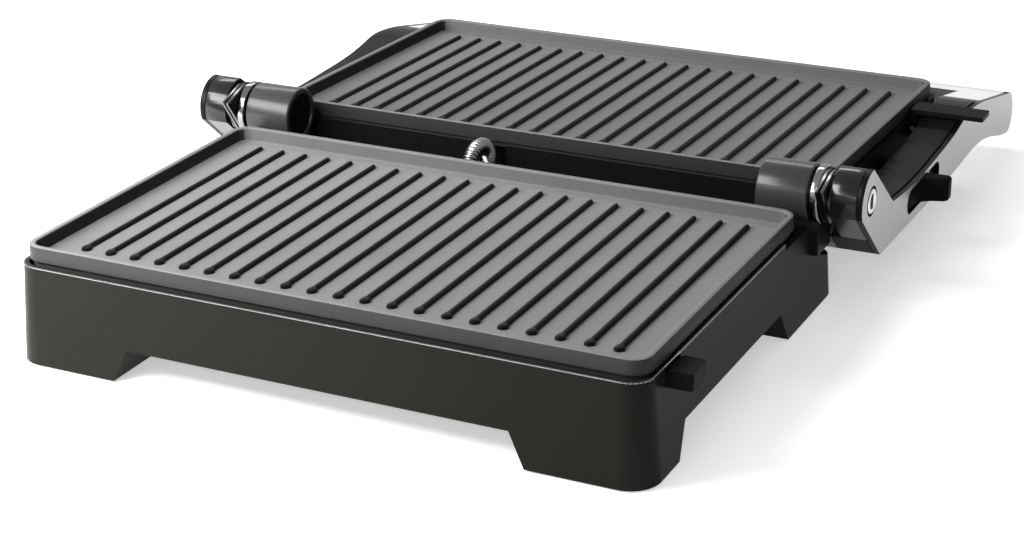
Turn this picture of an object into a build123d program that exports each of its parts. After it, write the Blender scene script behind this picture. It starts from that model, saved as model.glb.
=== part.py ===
from build123d import *
import math
import os

os.makedirs("parts", exist_ok=True)

# Driving dimensions, in millimetres. Y is measured from the front ends of the lower ridges,
# X from the symmetry plane of the plates, Z from the table. A place that keeps to a neighbour
# is given as that neighbour's place and the distance between them.

# Grill plates
plate_width = 300.0
plate_depth = 182.0
plate_corner = 9.0
rim_width = 3.0
rim_ring = 7.1
ridge_count = 21
ridge_side_margin = 20.0
ridge_end_margin = 31.0
ridge_width = 5.2
ridge_height = 2.7
ridge_drop = 4.0
ridge_taper = 18
slab_thickness = 3.3
slab_inset = 1.6
lower_ridge_margin = 18.5
upper_ridge_margin = 16.6
ridge_pitch = (plate_width - 2 * ridge_side_margin) / (ridge_count - 1)
ridge_length = plate_depth - ridge_end_margin
plate_rear = plate_depth - lower_ridge_margin

# Base housing
base_height = 46.9
base_wall = 2.4
base_corner = 10.5
base_draft = 3.9
side_lip = 1.7
front_lip = 3.7
floor_bottom = base_height - 30.6
floor_thickness = 2.5
foot_gap = 0.8
foot_top_width = 58.7
foot_sole_width = 51.0
side_arch_front_top = 16.0
side_arch_front_foot = 7.5
lip_gap = 1.0
shelf_height = base_height - 2.9
rear_dip_z = base_height - 17.4
rear_edge_z = base_height - 26.4
deck_step = 3.0
pad_radius = 10.5
pad_depth = 3.0
base_half = plate_width / 2 + side_lip
base_rear = plate_rear + 43.5
arch_top_half = base_half - foot_top_width
arch_foot_half = base_half - foot_sole_width
side_arch_rear_top = base_rear - 75.4
side_arch_rear_foot = base_rear - 66.0
well_rear = plate_rear + 2.0
shelf_start = plate_rear - 22.5
shelf_end = plate_rear + 7.5
rear_dip_y = plate_rear + 16.5

# Hinge
hinge_behind_plate = 19.8
hinge_z = base_height + 10.2
barrel_radius = 14.0
barrel_length = 25.0
pin_radius = 5.0
collar_thickness = 4.0
collar_gap = 1.2
lever_thickness = 4.5
washer_thickness = 0.8
bracket_height = hinge_z - 27.6
bracket_half_depth = 9.3
end_cap_radius = 11.0
running_gap = 0.3
pin_fit = 0.04
turn_fit = 0.06
lug_fit = 0.05
cap_fit = 0.1
hinge_y = plate_rear + hinge_behind_plate
barrel_outer_x = base_half - 0.7
barrel_inner_x = barrel_outer_x - barrel_length
bracket_front = hinge_y - bracket_half_depth
bracket_rear = hinge_y + bracket_half_depth

# Arms and handle
arm_side_gap = 5.3
arm_body_thickness = 18.0
arm_plate_thickness = 2.7
arm_plate_gap = 0.3
screw_head_radius = 5.9
screw_recess_radius = 7.2
handle_overhang = 2.7
arm_inner_x = base_half + arm_side_gap
arm_body_outer_x = arm_inner_x + arm_body_thickness
handle_inner_x = arm_inner_x - handle_overhang

# Hinge release slider, along the arm from the hinge axis
slot_start = hinge_y + 60.7
slot_length = 56.0
slot_bottom = hinge_z - 29.5
slot_top = slot_bottom + 12.4
slider_start = slot_start + 3.4
slider_length = 33.6
tab_start = slot_start + 27.0
tab_depth = 8.0
tab_height = 12.0
tab_overhang = 15.5
slot_end = slot_start + slot_length
slider_end = slider_start + slider_length
tab_reach = arm_body_outer_x + tab_overhang

# Lid, drawn level and then leaned back by its sag about the hinge
lid_sag = 1.5
rim_meeting_gap = 0.5
lid_near = 16.1
lid_wall = 2.4
lid_lip_drop = 8.1
lid_split = hinge_z - 27.1
lid_bottom = lid_split - 23.8
web_thickness = 2.4
cover_wall = 2.0
pivot_before_middle = 4.1
pivot_height = hinge_z - 17.1
pivot_radius = 4.0
pivot_shank_radius = 3.5
lid_side_half = base_half
lid_far = hinge_behind_plate + plate_depth + front_lip
pivot_y = (lid_near + lid_far) / 2 - pivot_before_middle
lean = math.radians(lid_sag)

# The arms reach past the lid, and the handle is between their ends
arm_reach = lid_far + 63.8
arm_end_y = hinge_y + arm_reach
handle_front = arm_end_y - 30.6
body_end_y = arm_end_y - 76.6

# Releases
lower_lever_front = -2.0
lower_lever_rear = 14.0
lower_lever_bottom = base_height - 8.9
lower_lever_top = lower_lever_bottom + 7.6
lower_lever_overhang = 11.8
lower_lever_reach = base_half + lower_lever_overhang
paddle_before_lid_end = 54.8
paddle_width = 14.0
paddle_bottom = hinge_z - 7.0
paddle_thickness = 2.4
paddle_overhang = 15.0
paddle_pin_radius = 1.2
paddle_front = hinge_y + lid_far - paddle_before_lid_end
paddle_rear = paddle_front + paddle_width
paddle_reach = arm_body_outer_x + paddle_overhang

# Heating
element_radius = 3.25
element_gap = 0.35
element_side_gap = 13.0
element_front = 20.0
element_tail_x = 45.0
element_tail = 25.0
element_bend = 10.5
tray_drop = 14.0
tray_sheet = 0.8
tray_side_gap = 32.0
tray_front = 6.0
tray_lip = 5.0
post_radius = 5.0
thermostat_radius = 9.0
tray_half_width = plate_width / 2 - tray_side_gap
tray_rear = plate_depth - 42.0
element_half_width = tray_half_width - element_side_gap
element_rear = tray_rear - 15.0
element_tail_y = element_rear + element_tail

# Small fasteners
screw_radius = 1.5
screw_head = 3.0

# Conduit
conduit_x = -27.0
conduit_base_y = hinge_y - 6.3
conduit_arch_radius = 12.5
conduit_arch_height = hinge_z - 17.6
conduit_outer_radius = 4.2
conduit_root_radius = 3.4
conduit_bore_radius = 2.6
conduit_rib_pitch = 1.9
conduit_start_z = rear_dip_z - 2.0
conduit_end_z = lid_split + 2.1
pocket_half_width = 10.0
pocket_depth = 11.5

# The origin is on the table, midway between the furthest left, right, front and back
draft_growth = base_height * math.tan(math.radians(base_draft))
arm_plate_outer_x = arm_body_outer_x + arm_plate_gap + arm_plate_thickness
base_front = -lower_ridge_margin - front_lip
mid_x = (tab_reach - arm_plate_outer_x) / 2
mid_y = (arm_end_y + base_front - draft_growth) / 2

# Heights that follow
plate_top = base_height + lip_gap + rim_ring
slab_top = plate_top - ridge_drop - ridge_height
slab_bottom = slab_top - slab_thickness
floor_top = floor_bottom + floor_thickness
sides = ((-1, "left"), (1, "right"))


def level(height):
    """A horizontal plane at a height above the table."""
    return Plane(origin=(-mid_x, -mid_y, height), x_dir=(1, 0, 0), z_dir=(0, 0, 1))


def side(x):
    """An upright plane across X, with local x along Y and local y up."""
    return Plane(origin=(x - mid_x, -mid_y, 0), x_dir=(0, 1, 0), z_dir=(1, 0, 0))


def facing_front(y):
    """An upright plane across Y that faces the front, with local y up."""
    return Plane(origin=(-mid_x, y - mid_y, 0), x_dir=(1, 0, 0), z_dir=(0, -1, 0))


def lid_level(height):
    """A plane of the open lid, leaned back about the hinge, with local y from the hinge axis."""
    hinge = Plane(
        origin=(-mid_x, hinge_y - mid_y, hinge_z),
        x_dir=(1, 0, 0),
        z_dir=(0, math.sin(lean), math.cos(lean)),
    )
    return hinge.offset(height - hinge_z)


def lid_side(x):
    """The same for a plane across X, with local x along the lid and local y square to it."""
    return Plane(
        origin=(
            x - mid_x,
            hinge_y - mid_y - hinge_z * math.sin(lean),
            hinge_z - hinge_z * math.cos(lean),
        ),
        x_dir=(0, math.cos(lean), -math.sin(lean)),
        z_dir=(1, 0, 0),
    )


def write(part, label):
    """Name a finished piece and write its file."""
    part.label = label
    export_step(part, f"parts/{label}.step")


# Grill plates: a slab with a rim all round and straight round-ended ridges
def make_plate(plane_at, near, top, ridge_margin):
    """One grill plate between `near` and `near + plate_depth`, its rim's top at `top`."""
    middle_y = near + plate_depth / 2
    floor = top - ridge_drop - ridge_height
    with BuildPart() as plate:
        with BuildSketch(plane_at(floor)):
            with Locations((0, middle_y)):
                RectangleRounded(
                    plate_width - 2 * slab_inset,
                    plate_depth - 2 * slab_inset,
                    plate_corner - slab_inset,
                )
        extrude(amount=-slab_thickness)
        with BuildSketch(plane_at(top - rim_ring)):
            with Locations((0, middle_y)):
                RectangleRounded(plate_width, plate_depth, plate_corner)
                RectangleRounded(
                    plate_width - 2 * rim_width,
                    plate_depth - 2 * rim_width,
                    plate_corner - rim_width,
                    mode=Mode.SUBTRACT,
                )
        extrude(amount=rim_ring)
        upward = Axis((0, 0, 0), plane_at(0).z_dir)
        rim_edges = plate.faces().sort_by(upward)[-1].edges()
        fillet(rim_edges, radius=rim_width * 0.3)
        with BuildSketch(plane_at(floor)):
            with Locations((0, near + ridge_margin + ridge_length / 2)):
                with GridLocations(ridge_pitch, 1, ridge_count, 1):
                    SlotOverall(ridge_length, ridge_width, rotation=90)
        extrude(amount=ridge_height, taper=ridge_taper)
    return plate.part


write(
    make_plate(level, -lower_ridge_margin, plate_top, lower_ridge_margin),
    "lower_plate",
)

lid_rim_top = hinge_z + (hinge_z - plate_top) - rim_meeting_gap
lid_plate_near = hinge_behind_plate
write(
    make_plate(lid_level, lid_plate_near, lid_rim_top, upper_ridge_margin),
    "upper_plate",
)

# Base housing: a drafted tray on four hollow feet, with a low rear for the lid's underside
with BuildPart() as base_shell:
    base_mid_y = (base_front + base_rear) / 2
    with BuildSketch(level(base_height)):
        with Locations((0, base_mid_y)):
            RectangleRounded(2 * base_half, base_rear - base_front, base_corner)
    extrude(amount=-(base_height - foot_gap), taper=-base_draft)
    # the shelf beside the hinge and the hollow behind it
    with BuildSketch(side(-base_half - 10)):
        with BuildLine():
            Line((shelf_start, base_height + 5), (shelf_start, shelf_height))
            Line((shelf_start, shelf_height), (shelf_end, shelf_height))
            Spline(
                (shelf_end, shelf_height),
                (rear_dip_y, rear_dip_z),
                (base_rear - 3, rear_edge_z),
                tangents=[(0.1, -1), (1, -0.12)],
            )
            Line((base_rear - 3, rear_edge_z), (base_rear + 10, rear_edge_z))
            Line((base_rear + 10, rear_edge_z), (base_rear + 10, base_height + 5))
            Line((base_rear + 10, base_height + 5), (shelf_start, base_height + 5))
        make_face()
    extrude(amount=2 * base_half + 20, mode=Mode.SUBTRACT)
    # the well under the lower plate
    with BuildSketch(level(floor_top)):
        with Locations((0, (base_front + base_wall + well_rear) / 2)):
            RectangleRounded(
                2 * (base_half - base_wall),
                well_rear - base_front - base_wall,
                base_corner - base_wall,
            )
    extrude(amount=base_height, mode=Mode.SUBTRACT)
    # the hollow's deck, a step below the side walls
    with BuildSketch(side(-base_half + base_wall)):
        with BuildLine():
            Line((well_rear + base_wall, shelf_height + 5), (well_rear + base_wall, shelf_height - deck_step))
            Spline(
                (well_rear + base_wall, shelf_height - deck_step),
                (rear_dip_y, rear_dip_z - deck_step),
                (base_rear - base_wall, rear_edge_z - deck_step / 2),
                tangents=[(0.3, -1), (1, -0.1)],
            )
            Line(
                (base_rear - base_wall, rear_edge_z - deck_step / 2),
                (base_rear - base_wall, shelf_height + 5),
            )
            Line(
                (base_rear - base_wall, shelf_height + 5),
                (well_rear + base_wall, shelf_height + 5),
            )
        make_face()
    extrude(amount=2 * (base_half - base_wall), mode=Mode.SUBTRACT)
    # arches between the feet, front to back and side to side
    with BuildSketch(facing_front(base_rear + 10)):
        Polygon(
            (-arch_foot_half, 0),
            (-arch_top_half, floor_bottom),
            (arch_top_half, floor_bottom),
            (arch_foot_half, 0),
            align=None,
        )
    extrude(amount=base_rear - base_front + 20, mode=Mode.SUBTRACT)
    with BuildSketch(side(-base_half - 10)):
        Polygon(
            (side_arch_front_foot, 0),
            (side_arch_front_top, floor_bottom),
            (side_arch_rear_top, floor_bottom),
            (side_arch_rear_foot, 0),
            align=None,
        )
    extrude(amount=2 * base_half + 20, mode=Mode.SUBTRACT)
    # hollow feet, open to the inside
    foot_inner_x = arch_foot_half + base_wall + 1
    foot_outer_x = base_half - base_wall
    front_foot_front = base_front + base_wall
    front_foot_rear = side_arch_front_foot - base_wall
    rear_foot_front = side_arch_rear_foot + base_wall
    foot_mid_x = (foot_inner_x + foot_outer_x) / 2
    with BuildSketch(level(floor_top)):
        with Locations(
            (-foot_mid_x, (front_foot_front + front_foot_rear) / 2),
            (foot_mid_x, (front_foot_front + front_foot_rear) / 2),
        ):
            RectangleRounded(
                foot_outer_x - foot_inner_x,
                front_foot_rear - front_foot_front,
                base_corner - base_wall,
            )
        with Locations(
            (-foot_mid_x, (rear_foot_front + well_rear) / 2),
            (foot_mid_x, (rear_foot_front + well_rear) / 2),
        ):
            Rectangle(foot_outer_x - foot_inner_x, well_rear - rear_foot_front)
    extrude(amount=-(floor_top - foot_gap - 2 * pad_depth), mode=Mode.SUBTRACT)
    # pockets for the foot pads
    front_pad_y = (base_front + side_arch_front_foot) / 2
    rear_pad_y = base_rear - (side_arch_front_foot - base_front) / 2
    pad_x = (arch_foot_half + base_half) / 2
    pad_places = [
        (-pad_x, front_pad_y),
        (pad_x, front_pad_y),
        (-pad_x, rear_pad_y),
        (pad_x, rear_pad_y),
    ]
    with BuildSketch(level(foot_gap)):
        with Locations(*pad_places):
            Circle(pad_radius + running_gap)
    extrude(amount=pad_depth, mode=Mode.SUBTRACT)
    # opening in the floor, closed by the bottom cover
    opening_half_x = arch_top_half - 1
    opening_front = 32.0
    opening_rear = plate_depth - 66
    with BuildSketch(level(floor_bottom)):
        with Locations((0, (opening_front + opening_rear) / 2)):
            Rectangle(2 * opening_half_x, opening_rear - opening_front)
    extrude(amount=floor_thickness, mode=Mode.SUBTRACT)
    # posts under the lower plate and under the reflector tray
    plate_post_x = tray_half_width + 12
    plate_post_front = 24.0
    plate_post_rear = tray_rear - 2
    with BuildSketch(level(floor_top)):
        for post_y in (plate_post_front, plate_post_rear):
            with Locations((-plate_post_x, post_y), (plate_post_x, post_y)):
                Circle(post_radius)
    extrude(amount=slab_bottom - floor_top)
    tray_bottom = slab_bottom - tray_drop
    tray_post_x = tray_half_width - 14
    with BuildSketch(level(floor_top)):
        for post_y in (tray_front + 8, tray_rear - 8):
            with Locations((-tray_post_x, post_y), (tray_post_x, post_y)):
                Circle(post_radius)
    extrude(amount=tray_bottom - floor_top)
    # pedestals under the hinge brackets
    for hand in (-1, 1):
        with BuildSketch(level(floor_top)):
            with Locations((hand * (barrel_inner_x + base_half) / 2, hinge_y)):
                Rectangle(base_half - barrel_inner_x, bracket_rear - bracket_front)
        extrude(amount=bracket_height - floor_top)
        with BuildSketch(level(bracket_height)):
            with Locations((hand * (barrel_inner_x + base_half + 10) / 2, hinge_y)):
                Rectangle(
                    base_half + 10 - barrel_inner_x + 2 * running_gap,
                    bracket_rear - bracket_front + 2 * running_gap,
                )
        extrude(amount=base_height, mode=Mode.SUBTRACT)
    # boss for the conduit's lower ferrule
    with BuildSketch(level(floor_top)):
        with Locations((conduit_x, conduit_base_y)):
            Circle(conduit_outer_radius + 3)
    extrude(amount=conduit_start_z - floor_top)
    with BuildSketch(level(floor_top - 1)):
        with Locations((conduit_x, conduit_base_y)):
            Circle(conduit_outer_radius + 1.2)
    extrude(amount=base_height, mode=Mode.SUBTRACT)
    with BuildSketch(level(conduit_start_z)):
        with Locations((conduit_x, conduit_base_y)):
            Circle(conduit_outer_radius + 3)
    extrude(amount=base_height, mode=Mode.SUBTRACT)
    # notch for the lower plate's release
    lever_mid_y = (lower_lever_front + lower_lever_rear) / 2
    lever_width = lower_lever_rear - lower_lever_front
    with BuildSketch(side(base_half - 2 * base_wall)):
        with Locations((lever_mid_y, (lower_lever_bottom - running_gap + base_height + 1) / 2)):
            Rectangle(
                lever_width + 2 * running_gap,
                base_height + 1 - lower_lever_bottom + running_gap,
            )
    extrude(amount=6 * base_wall, mode=Mode.SUBTRACT)
    # guide block for the release
    guide_outer_x = base_half - base_wall
    guide_length = 14.0
    with BuildSketch(level(floor_top)):
        with Locations((guide_outer_x - guide_length / 2, lever_mid_y)):
            Rectangle(guide_length, lever_width)
    extrude(amount=lower_lever_bottom - floor_top - running_gap)
    # screw bosses round the floor opening
    boss_x = opening_half_x + 8
    boss_places = [
        (-boss_x, opening_front),
        (boss_x, opening_front),
        (-boss_x, opening_rear),
        (boss_x, opening_rear),
    ]
    with BuildSketch(level(floor_bottom)):
        with Locations(*boss_places):
            Circle(screw_radius + pin_fit)
    extrude(amount=floor_thickness, mode=Mode.SUBTRACT)
write(base_shell.part, "base_shell")

# Bottom cover under the floor opening, with the cord's hole
cover_margin = 14.0
cover_thickness = 2.0
inlet_x = -60.0
inlet_margin = 14.0
inlet_y = opening_rear - inlet_margin
inlet_radius = 8.0
inlet_flange = 1.5
cord_hole_radius = 3.7
screw_grip = 5.0
screw_head_height = 1.6
with BuildPart() as base_bottom_cover:
    with BuildSketch(level(floor_bottom)):
        with Locations((0, (opening_front + opening_rear) / 2)):
            RectangleRounded(
                2 * (opening_half_x + cover_margin),
                opening_rear - opening_front + 2 * cover_margin,
                6,
            )
        with Locations(*boss_places):
            Circle(screw_radius + pin_fit, mode=Mode.SUBTRACT)
        with Locations((inlet_x, inlet_y)):
            Circle(inlet_radius, mode=Mode.SUBTRACT)
    extrude(amount=-cover_thickness)
write(base_bottom_cover.part, "base_bottom_cover")

# Cord inlet bush: a flanged ring that a cord would come out of
with BuildPart() as cord_inlet_bush:
    with BuildSketch(level(floor_bottom - cover_thickness)):
        with Locations((inlet_x, inlet_y)):
            Circle(inlet_radius + 2)
    extrude(amount=-inlet_flange)
    with BuildSketch(level(floor_bottom - cover_thickness)):
        with Locations((inlet_x, inlet_y)):
            Circle(inlet_radius - pin_fit)
    extrude(amount=cover_thickness + screw_grip)
    with BuildSketch(level(0)):
        with Locations((inlet_x, inlet_y)):
            Circle(cord_hole_radius)
    extrude(amount=base_height, mode=Mode.SUBTRACT)
write(cord_inlet_bush.part, "cord_inlet_bush")

# Screws of the bottom cover
with BuildPart() as base_cover_screws:
    with BuildSketch(level(floor_bottom - cover_thickness)):
        with Locations(*boss_places):
            Circle(screw_radius)
    extrude(amount=cover_thickness + screw_grip)
    with BuildSketch(level(floor_bottom - cover_thickness)):
        with Locations(*boss_places):
            Circle(screw_head)
    extrude(amount=-screw_head_height)
write(base_cover_screws.part, "base_cover_screws")

# Foot pads
with BuildPart() as foot_pads:
    with BuildSketch(level(0)):
        with Locations(*pad_places):
            Circle(pad_radius)
    extrude(amount=foot_gap + pad_depth)
write(foot_pads.part, "foot_pads")


# Heating element, reflector tray, element clips and thermostat, the same set for both plates
def make_heating(plane_at, shift_y, slab_under, prefix):
    """The heating set below a slab whose underside is at `slab_under`."""
    rod_z = slab_under - element_gap - element_radius
    tray_z = slab_under - tray_drop
    with BuildPart() as element:
        with BuildLine(plane_at(rod_z)) as rod_line:
            FilletPolyline(
                (-element_tail_x, element_tail_y + shift_y),
                (-element_tail_x, element_rear + shift_y),
                (-element_half_width, element_rear + shift_y),
                (-element_half_width, element_front + shift_y),
                (element_half_width, element_front + shift_y),
                (element_half_width, element_rear + shift_y),
                (element_tail_x, element_rear + shift_y),
                (element_tail_x, element_tail_y + shift_y),
                radius=element_bend,
            )
        rod = rod_line.line
        with BuildSketch(Plane(origin=rod @ 0, z_dir=rod % 0)):
            Circle(element_radius)
        sweep(path=rod)
    write(element.part, f"{prefix}_heating_element")

    tray_mid_y = (tray_front + tray_rear) / 2 + shift_y
    tray_length = tray_rear - tray_front
    with BuildPart() as tray:
        with BuildSketch(plane_at(tray_z)):
            with Locations((0, tray_mid_y)):
                RectangleRounded(2 * tray_half_width, tray_length, 6)
        extrude(amount=tray_lip)
        with BuildSketch(plane_at(tray_z + tray_sheet)):
            with Locations((0, tray_mid_y)):
                RectangleRounded(2 * (tray_half_width - tray_sheet), tray_length - 2 * tray_sheet, 5.2)
        extrude(amount=tray_lip, mode=Mode.SUBTRACT)
    write(tray.part, f"{prefix}_reflector")

    clip_width = 10.0
    clip_thickness = 3.0
    with BuildPart() as clips:
        with BuildSketch(plane_at(tray_z + tray_sheet)):
            with Locations(
                (-element_half_width * 0.5, element_front + shift_y),
                (element_half_width * 0.5, element_front + shift_y),
            ):
                Rectangle(clip_thickness, clip_width)
            with Locations(
                (-element_half_width, (element_front + element_rear) / 2 + shift_y),
                (element_half_width, (element_front + element_rear) / 2 + shift_y),
            ):
                Rectangle(clip_width, clip_thickness)
        extrude(amount=rod_z - element_radius - tray_z - tray_sheet)
    write(clips.part, f"{prefix}_element_clips")

    with BuildPart() as thermostat:
        with BuildSketch(plane_at(tray_z + tray_sheet)):
            with Locations((0, tray_mid_y)):
                Circle(post_radius)
        extrude(amount=tray_drop - tray_sheet - 6)
        with BuildSketch(plane_at(slab_under - element_gap)):
            with Locations((0, tray_mid_y)):
                Circle(thermostat_radius)
        extrude(amount=-7)
    write(thermostat.part, f"{prefix}_thermostat")


make_heating(level, 0, slab_bottom, "lower")

# Thermal fuse lying in the lower tray
fuse_radius = 2.5
with BuildPart() as thermal_fuse:
    with BuildSketch(side(34)):
        with Locations(((tray_front + tray_rear) / 2, tray_bottom + tray_sheet + fuse_radius + 0.05)):
            Circle(fuse_radius)
    extrude(amount=14)
write(thermal_fuse.part, "thermal_fuse")

# Terminal block on the floor behind the tray
block_size = (44.0, 14.0, 12.0)
with BuildPart() as terminal_block:
    with BuildSketch(level(floor_top)):
        with Locations((60, tray_rear + 3 + block_size[1] / 2)):
            Rectangle(block_size[0], block_size[1])
    extrude(amount=block_size[2])
    with BuildSketch(level(floor_top + block_size[2])):
        with Locations((60, tray_rear + 3 + block_size[1] / 2)):
            with GridLocations(10, 1, 4, 1):
                Circle(2.2)
    extrude(amount=-6, mode=Mode.SUBTRACT)
write(terminal_block.part, "terminal_block")

# Lower plate release: a thumb block that slides in through the notch, and its spring
spring_radius = 2.6
lever_inner_x = guide_outer_x - guide_length + 2
with BuildPart() as lower_release_lever:
    with BuildSketch(level(lower_lever_bottom)):
        with Locations(((lever_inner_x + lower_lever_reach) / 2, lever_mid_y)):
            RectangleRounded(lower_lever_reach - lever_inner_x, lever_width, 1.5)
    extrude(amount=slab_bottom - running_gap - lower_lever_bottom)
    with BuildSketch(level(lower_lever_bottom)):
        with Locations(((base_half + 1 + lower_lever_reach) / 2, lever_mid_y)):
            RectangleRounded(lower_lever_reach - base_half - 1, lever_width, 1.5)
    extrude(amount=lower_lever_top - lower_lever_bottom)
write(lower_release_lever.part, "lower_release_lever")

release_spring_room = 14.0
spring_seat_x = lever_inner_x - release_spring_room
with BuildPart() as lower_release_spring:
    spring_z = (lower_lever_bottom + slab_bottom) / 2
    with BuildSketch(side(spring_seat_x + running_gap)):
        with Locations((lever_mid_y, spring_z)):
            Circle(spring_radius)
            Circle(spring_radius - 0.7, mode=Mode.SUBTRACT)
    extrude(amount=lever_inner_x - spring_seat_x - 2 * running_gap)
write(lower_release_spring.part, "lower_release_spring")

# Seat of the spring, a small bracket on the floor
with BuildPart() as spring_seat:
    with BuildSketch(level(floor_top)):
        with Locations((spring_seat_x - 1.5, lever_mid_y)):
            Rectangle(3, 9)
    extrude(amount=slab_bottom - 1 - floor_top)
write(spring_seat.part, "release_spring_seat")

# Spring clips that hold the lower plate's left edge
clip_offset = 4.0
clip_sheet = 1.2
clip_length = 14.0
clip_front = 40.0
clip_rear_margin = 72.0
clip_rear = plate_depth - clip_rear_margin
with BuildPart() as lower_plate_clips:
    with BuildSketch(level(floor_top)):
        with Locations(
            (-base_half + base_wall + clip_offset, clip_front),
            (-base_half + base_wall + clip_offset, clip_rear),
        ):
            Rectangle(clip_sheet, clip_length)
    extrude(amount=slab_bottom - floor_top)
write(lower_plate_clips.part, "lower_plate_clips")

# Hinge: bracket, barrel, end cap, collar, latch lever, washer and pin on each side
collar_x = barrel_outer_x + collar_gap
lever_x = collar_x + collar_thickness + running_gap
washer_x = lever_x + lever_thickness + running_gap
lug_x = washer_x + washer_thickness + running_gap / 2
head_x = arm_body_outer_x + 0.15
head_height = arm_plate_outer_x - head_x + 0.5
axis_place = (hinge_y, hinge_z)
for hand, name in sides:
    with BuildPart() as bracket:
        with BuildSketch(side(hand * barrel_inner_x)):
            with Locations((hinge_y, (bracket_height + hinge_z - 6) / 2)):
                Rectangle(bracket_rear - bracket_front, hinge_z - 6 - bracket_height)
            with Locations(axis_place):
                Circle(barrel_radius + cap_fit, mode=Mode.SUBTRACT)
        extrude(amount=hand * (collar_x + collar_thickness - barrel_inner_x))
    write(bracket.part, f"hinge_bracket_{name}")

    with BuildPart() as barrel:
        with BuildSketch(side(hand * barrel_inner_x)):
            with Locations(axis_place):
                Circle(barrel_radius)
        extrude(amount=hand * (barrel_outer_x - barrel_inner_x))
        chamfer(barrel.edges().filter_by(GeomType.CIRCLE), length=0.6)
        with BuildSketch(side(hand * barrel_inner_x)):
            with Locations(axis_place):
                Circle(end_cap_radius + cap_fit)
        extrude(amount=hand * 4, mode=Mode.SUBTRACT)
        with BuildSketch(side(hand * barrel_inner_x)):
            with Locations(axis_place):
                Circle(pin_radius + pin_fit)
        extrude(amount=hand * 30, mode=Mode.SUBTRACT)
    write(barrel.part, f"hinge_barrel_{name}")

    with BuildPart() as end_cap:
        with BuildSketch(side(hand * (barrel_inner_x + 1.2))):
            with Locations(axis_place):
                Circle(end_cap_radius)
        extrude(amount=hand * 2.8)
    write(end_cap.part, f"barrel_end_cap_{name}")

    with BuildPart() as collar:
        with BuildSketch(side(hand * collar_x)):
            with Locations(axis_place):
                Circle(barrel_radius)
                Circle(pin_radius + pin_fit, mode=Mode.SUBTRACT)
        extrude(amount=hand * collar_thickness)
        chamfer(
            collar.edges().filter_by(GeomType.CIRCLE).group_by(SortBy.RADIUS)[-1],
            length=0.5,
        )
    write(collar.part, f"hub_collar_{name}")

    with BuildPart() as latch:
        with BuildSketch(side(hand * lever_x)):
            with Locations(axis_place):
                Circle(barrel_radius - 1)
            Polygon(
                (hinge_y - 20.3, hinge_z + 8.0),
                (hinge_y - 4.8, hinge_z + 13.4),
                (hinge_y - 7.3, hinge_z - 10.1),
                align=None,
            )
            with Locations(axis_place):
                Circle(pin_radius + turn_fit, mode=Mode.SUBTRACT)
        extrude(amount=hand * lever_thickness)
    write(latch.part, f"latch_lever_{name}")

    with BuildPart() as washer:
        with BuildSketch(side(hand * washer_x)):
            with Locations(axis_place):
                Circle(barrel_radius - 2)
                Circle(pin_radius + pin_fit, mode=Mode.SUBTRACT)
        extrude(amount=hand * washer_thickness)
    write(washer.part, f"hinge_washer_{name}")

    with BuildPart() as pin:
        with BuildSketch(side(hand * (barrel_inner_x + 4.2))):
            with Locations(axis_place):
                Circle(pin_radius)
        extrude(amount=hand * (head_x - barrel_inner_x - 4.2))
        with BuildSketch(side(hand * head_x)):
            with Locations(axis_place):
                Circle(screw_head_radius)
        extrude(amount=hand * head_height)
        with BuildSketch(side(hand * (head_x + head_height))):
            with Locations(axis_place):
                Rectangle(1.5, 2 * screw_head_radius - 2)
        extrude(amount=-hand * 1.6, mode=Mode.SUBTRACT)
    write(pin.part, f"hinge_screw_{name}")

# Arm outline, seen from the side: a round lug at the hinge, a long bar and a flared end
lug_radius = 15.0
lug_reach = 23.0
lug_front = (hinge_y - 13.9, hinge_z - 5.0)
lug_crown = (hinge_y + 1.2, hinge_z + lug_radius)
bar_front_low = (hinge_y + 18.1, hinge_z - 33.1)
notch_share = 0.1315
notch_drop = 12.2

# The bar's top from notch to handle, as shares of the arm's reach and drops below the axis
bar_top = (
    (0.1983, 14.1),
    (0.3301, 15.3),
    (0.4088, 14.6),
    (0.5733, 11.0),
    (0.6235, 8.7),
    (0.6636, 8.8),
    (0.7156, 10.5),
    (0.7438, 11.8),
)


def along(share, drop):
    """A point of the arm at a share of its reach from the hinge axis and below it by `drop`."""
    return (hinge_y + share * arm_reach, hinge_z - drop)


def arm_outline(grow):
    """The arm's outline as lines and curves, grown upward by `grow` along the bar."""
    notch = along(notch_share, notch_drop - grow)
    end_top = along(0.9495, 23.8)
    end_middle = along(1, 34.2)
    end_low = along(0.9655, 48.0)
    bar_low = along(0.5351, 34.3)
    bar_low_front = along(0.3453, 34.7)
    with BuildLine() as outline:
        ThreePointArc(lug_front, (hinge_y - 10.4, hinge_z + 10.8), lug_crown)
        Line(lug_crown, notch)
        Spline(notch, *[along(share, drop - grow) for share, drop in bar_top])
        Line(along(bar_top[-1][0], bar_top[-1][1] - grow), end_top)
        ThreePointArc(end_top, along(0.9866, 27.6), end_middle)
        ThreePointArc(end_middle, along(0.997, 42.6), end_low)
        Spline(
            end_low,
            along(0.8232, 38.5),
            along(0.7092, 33.5),
            bar_low,
            tangents=[(-1, 0.14), (-1, 0)],
        )
        Line(bar_low, bar_low_front)
        Line(bar_low_front, bar_front_low)
        Line(bar_front_low, lug_front)
    return outline.line


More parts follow.
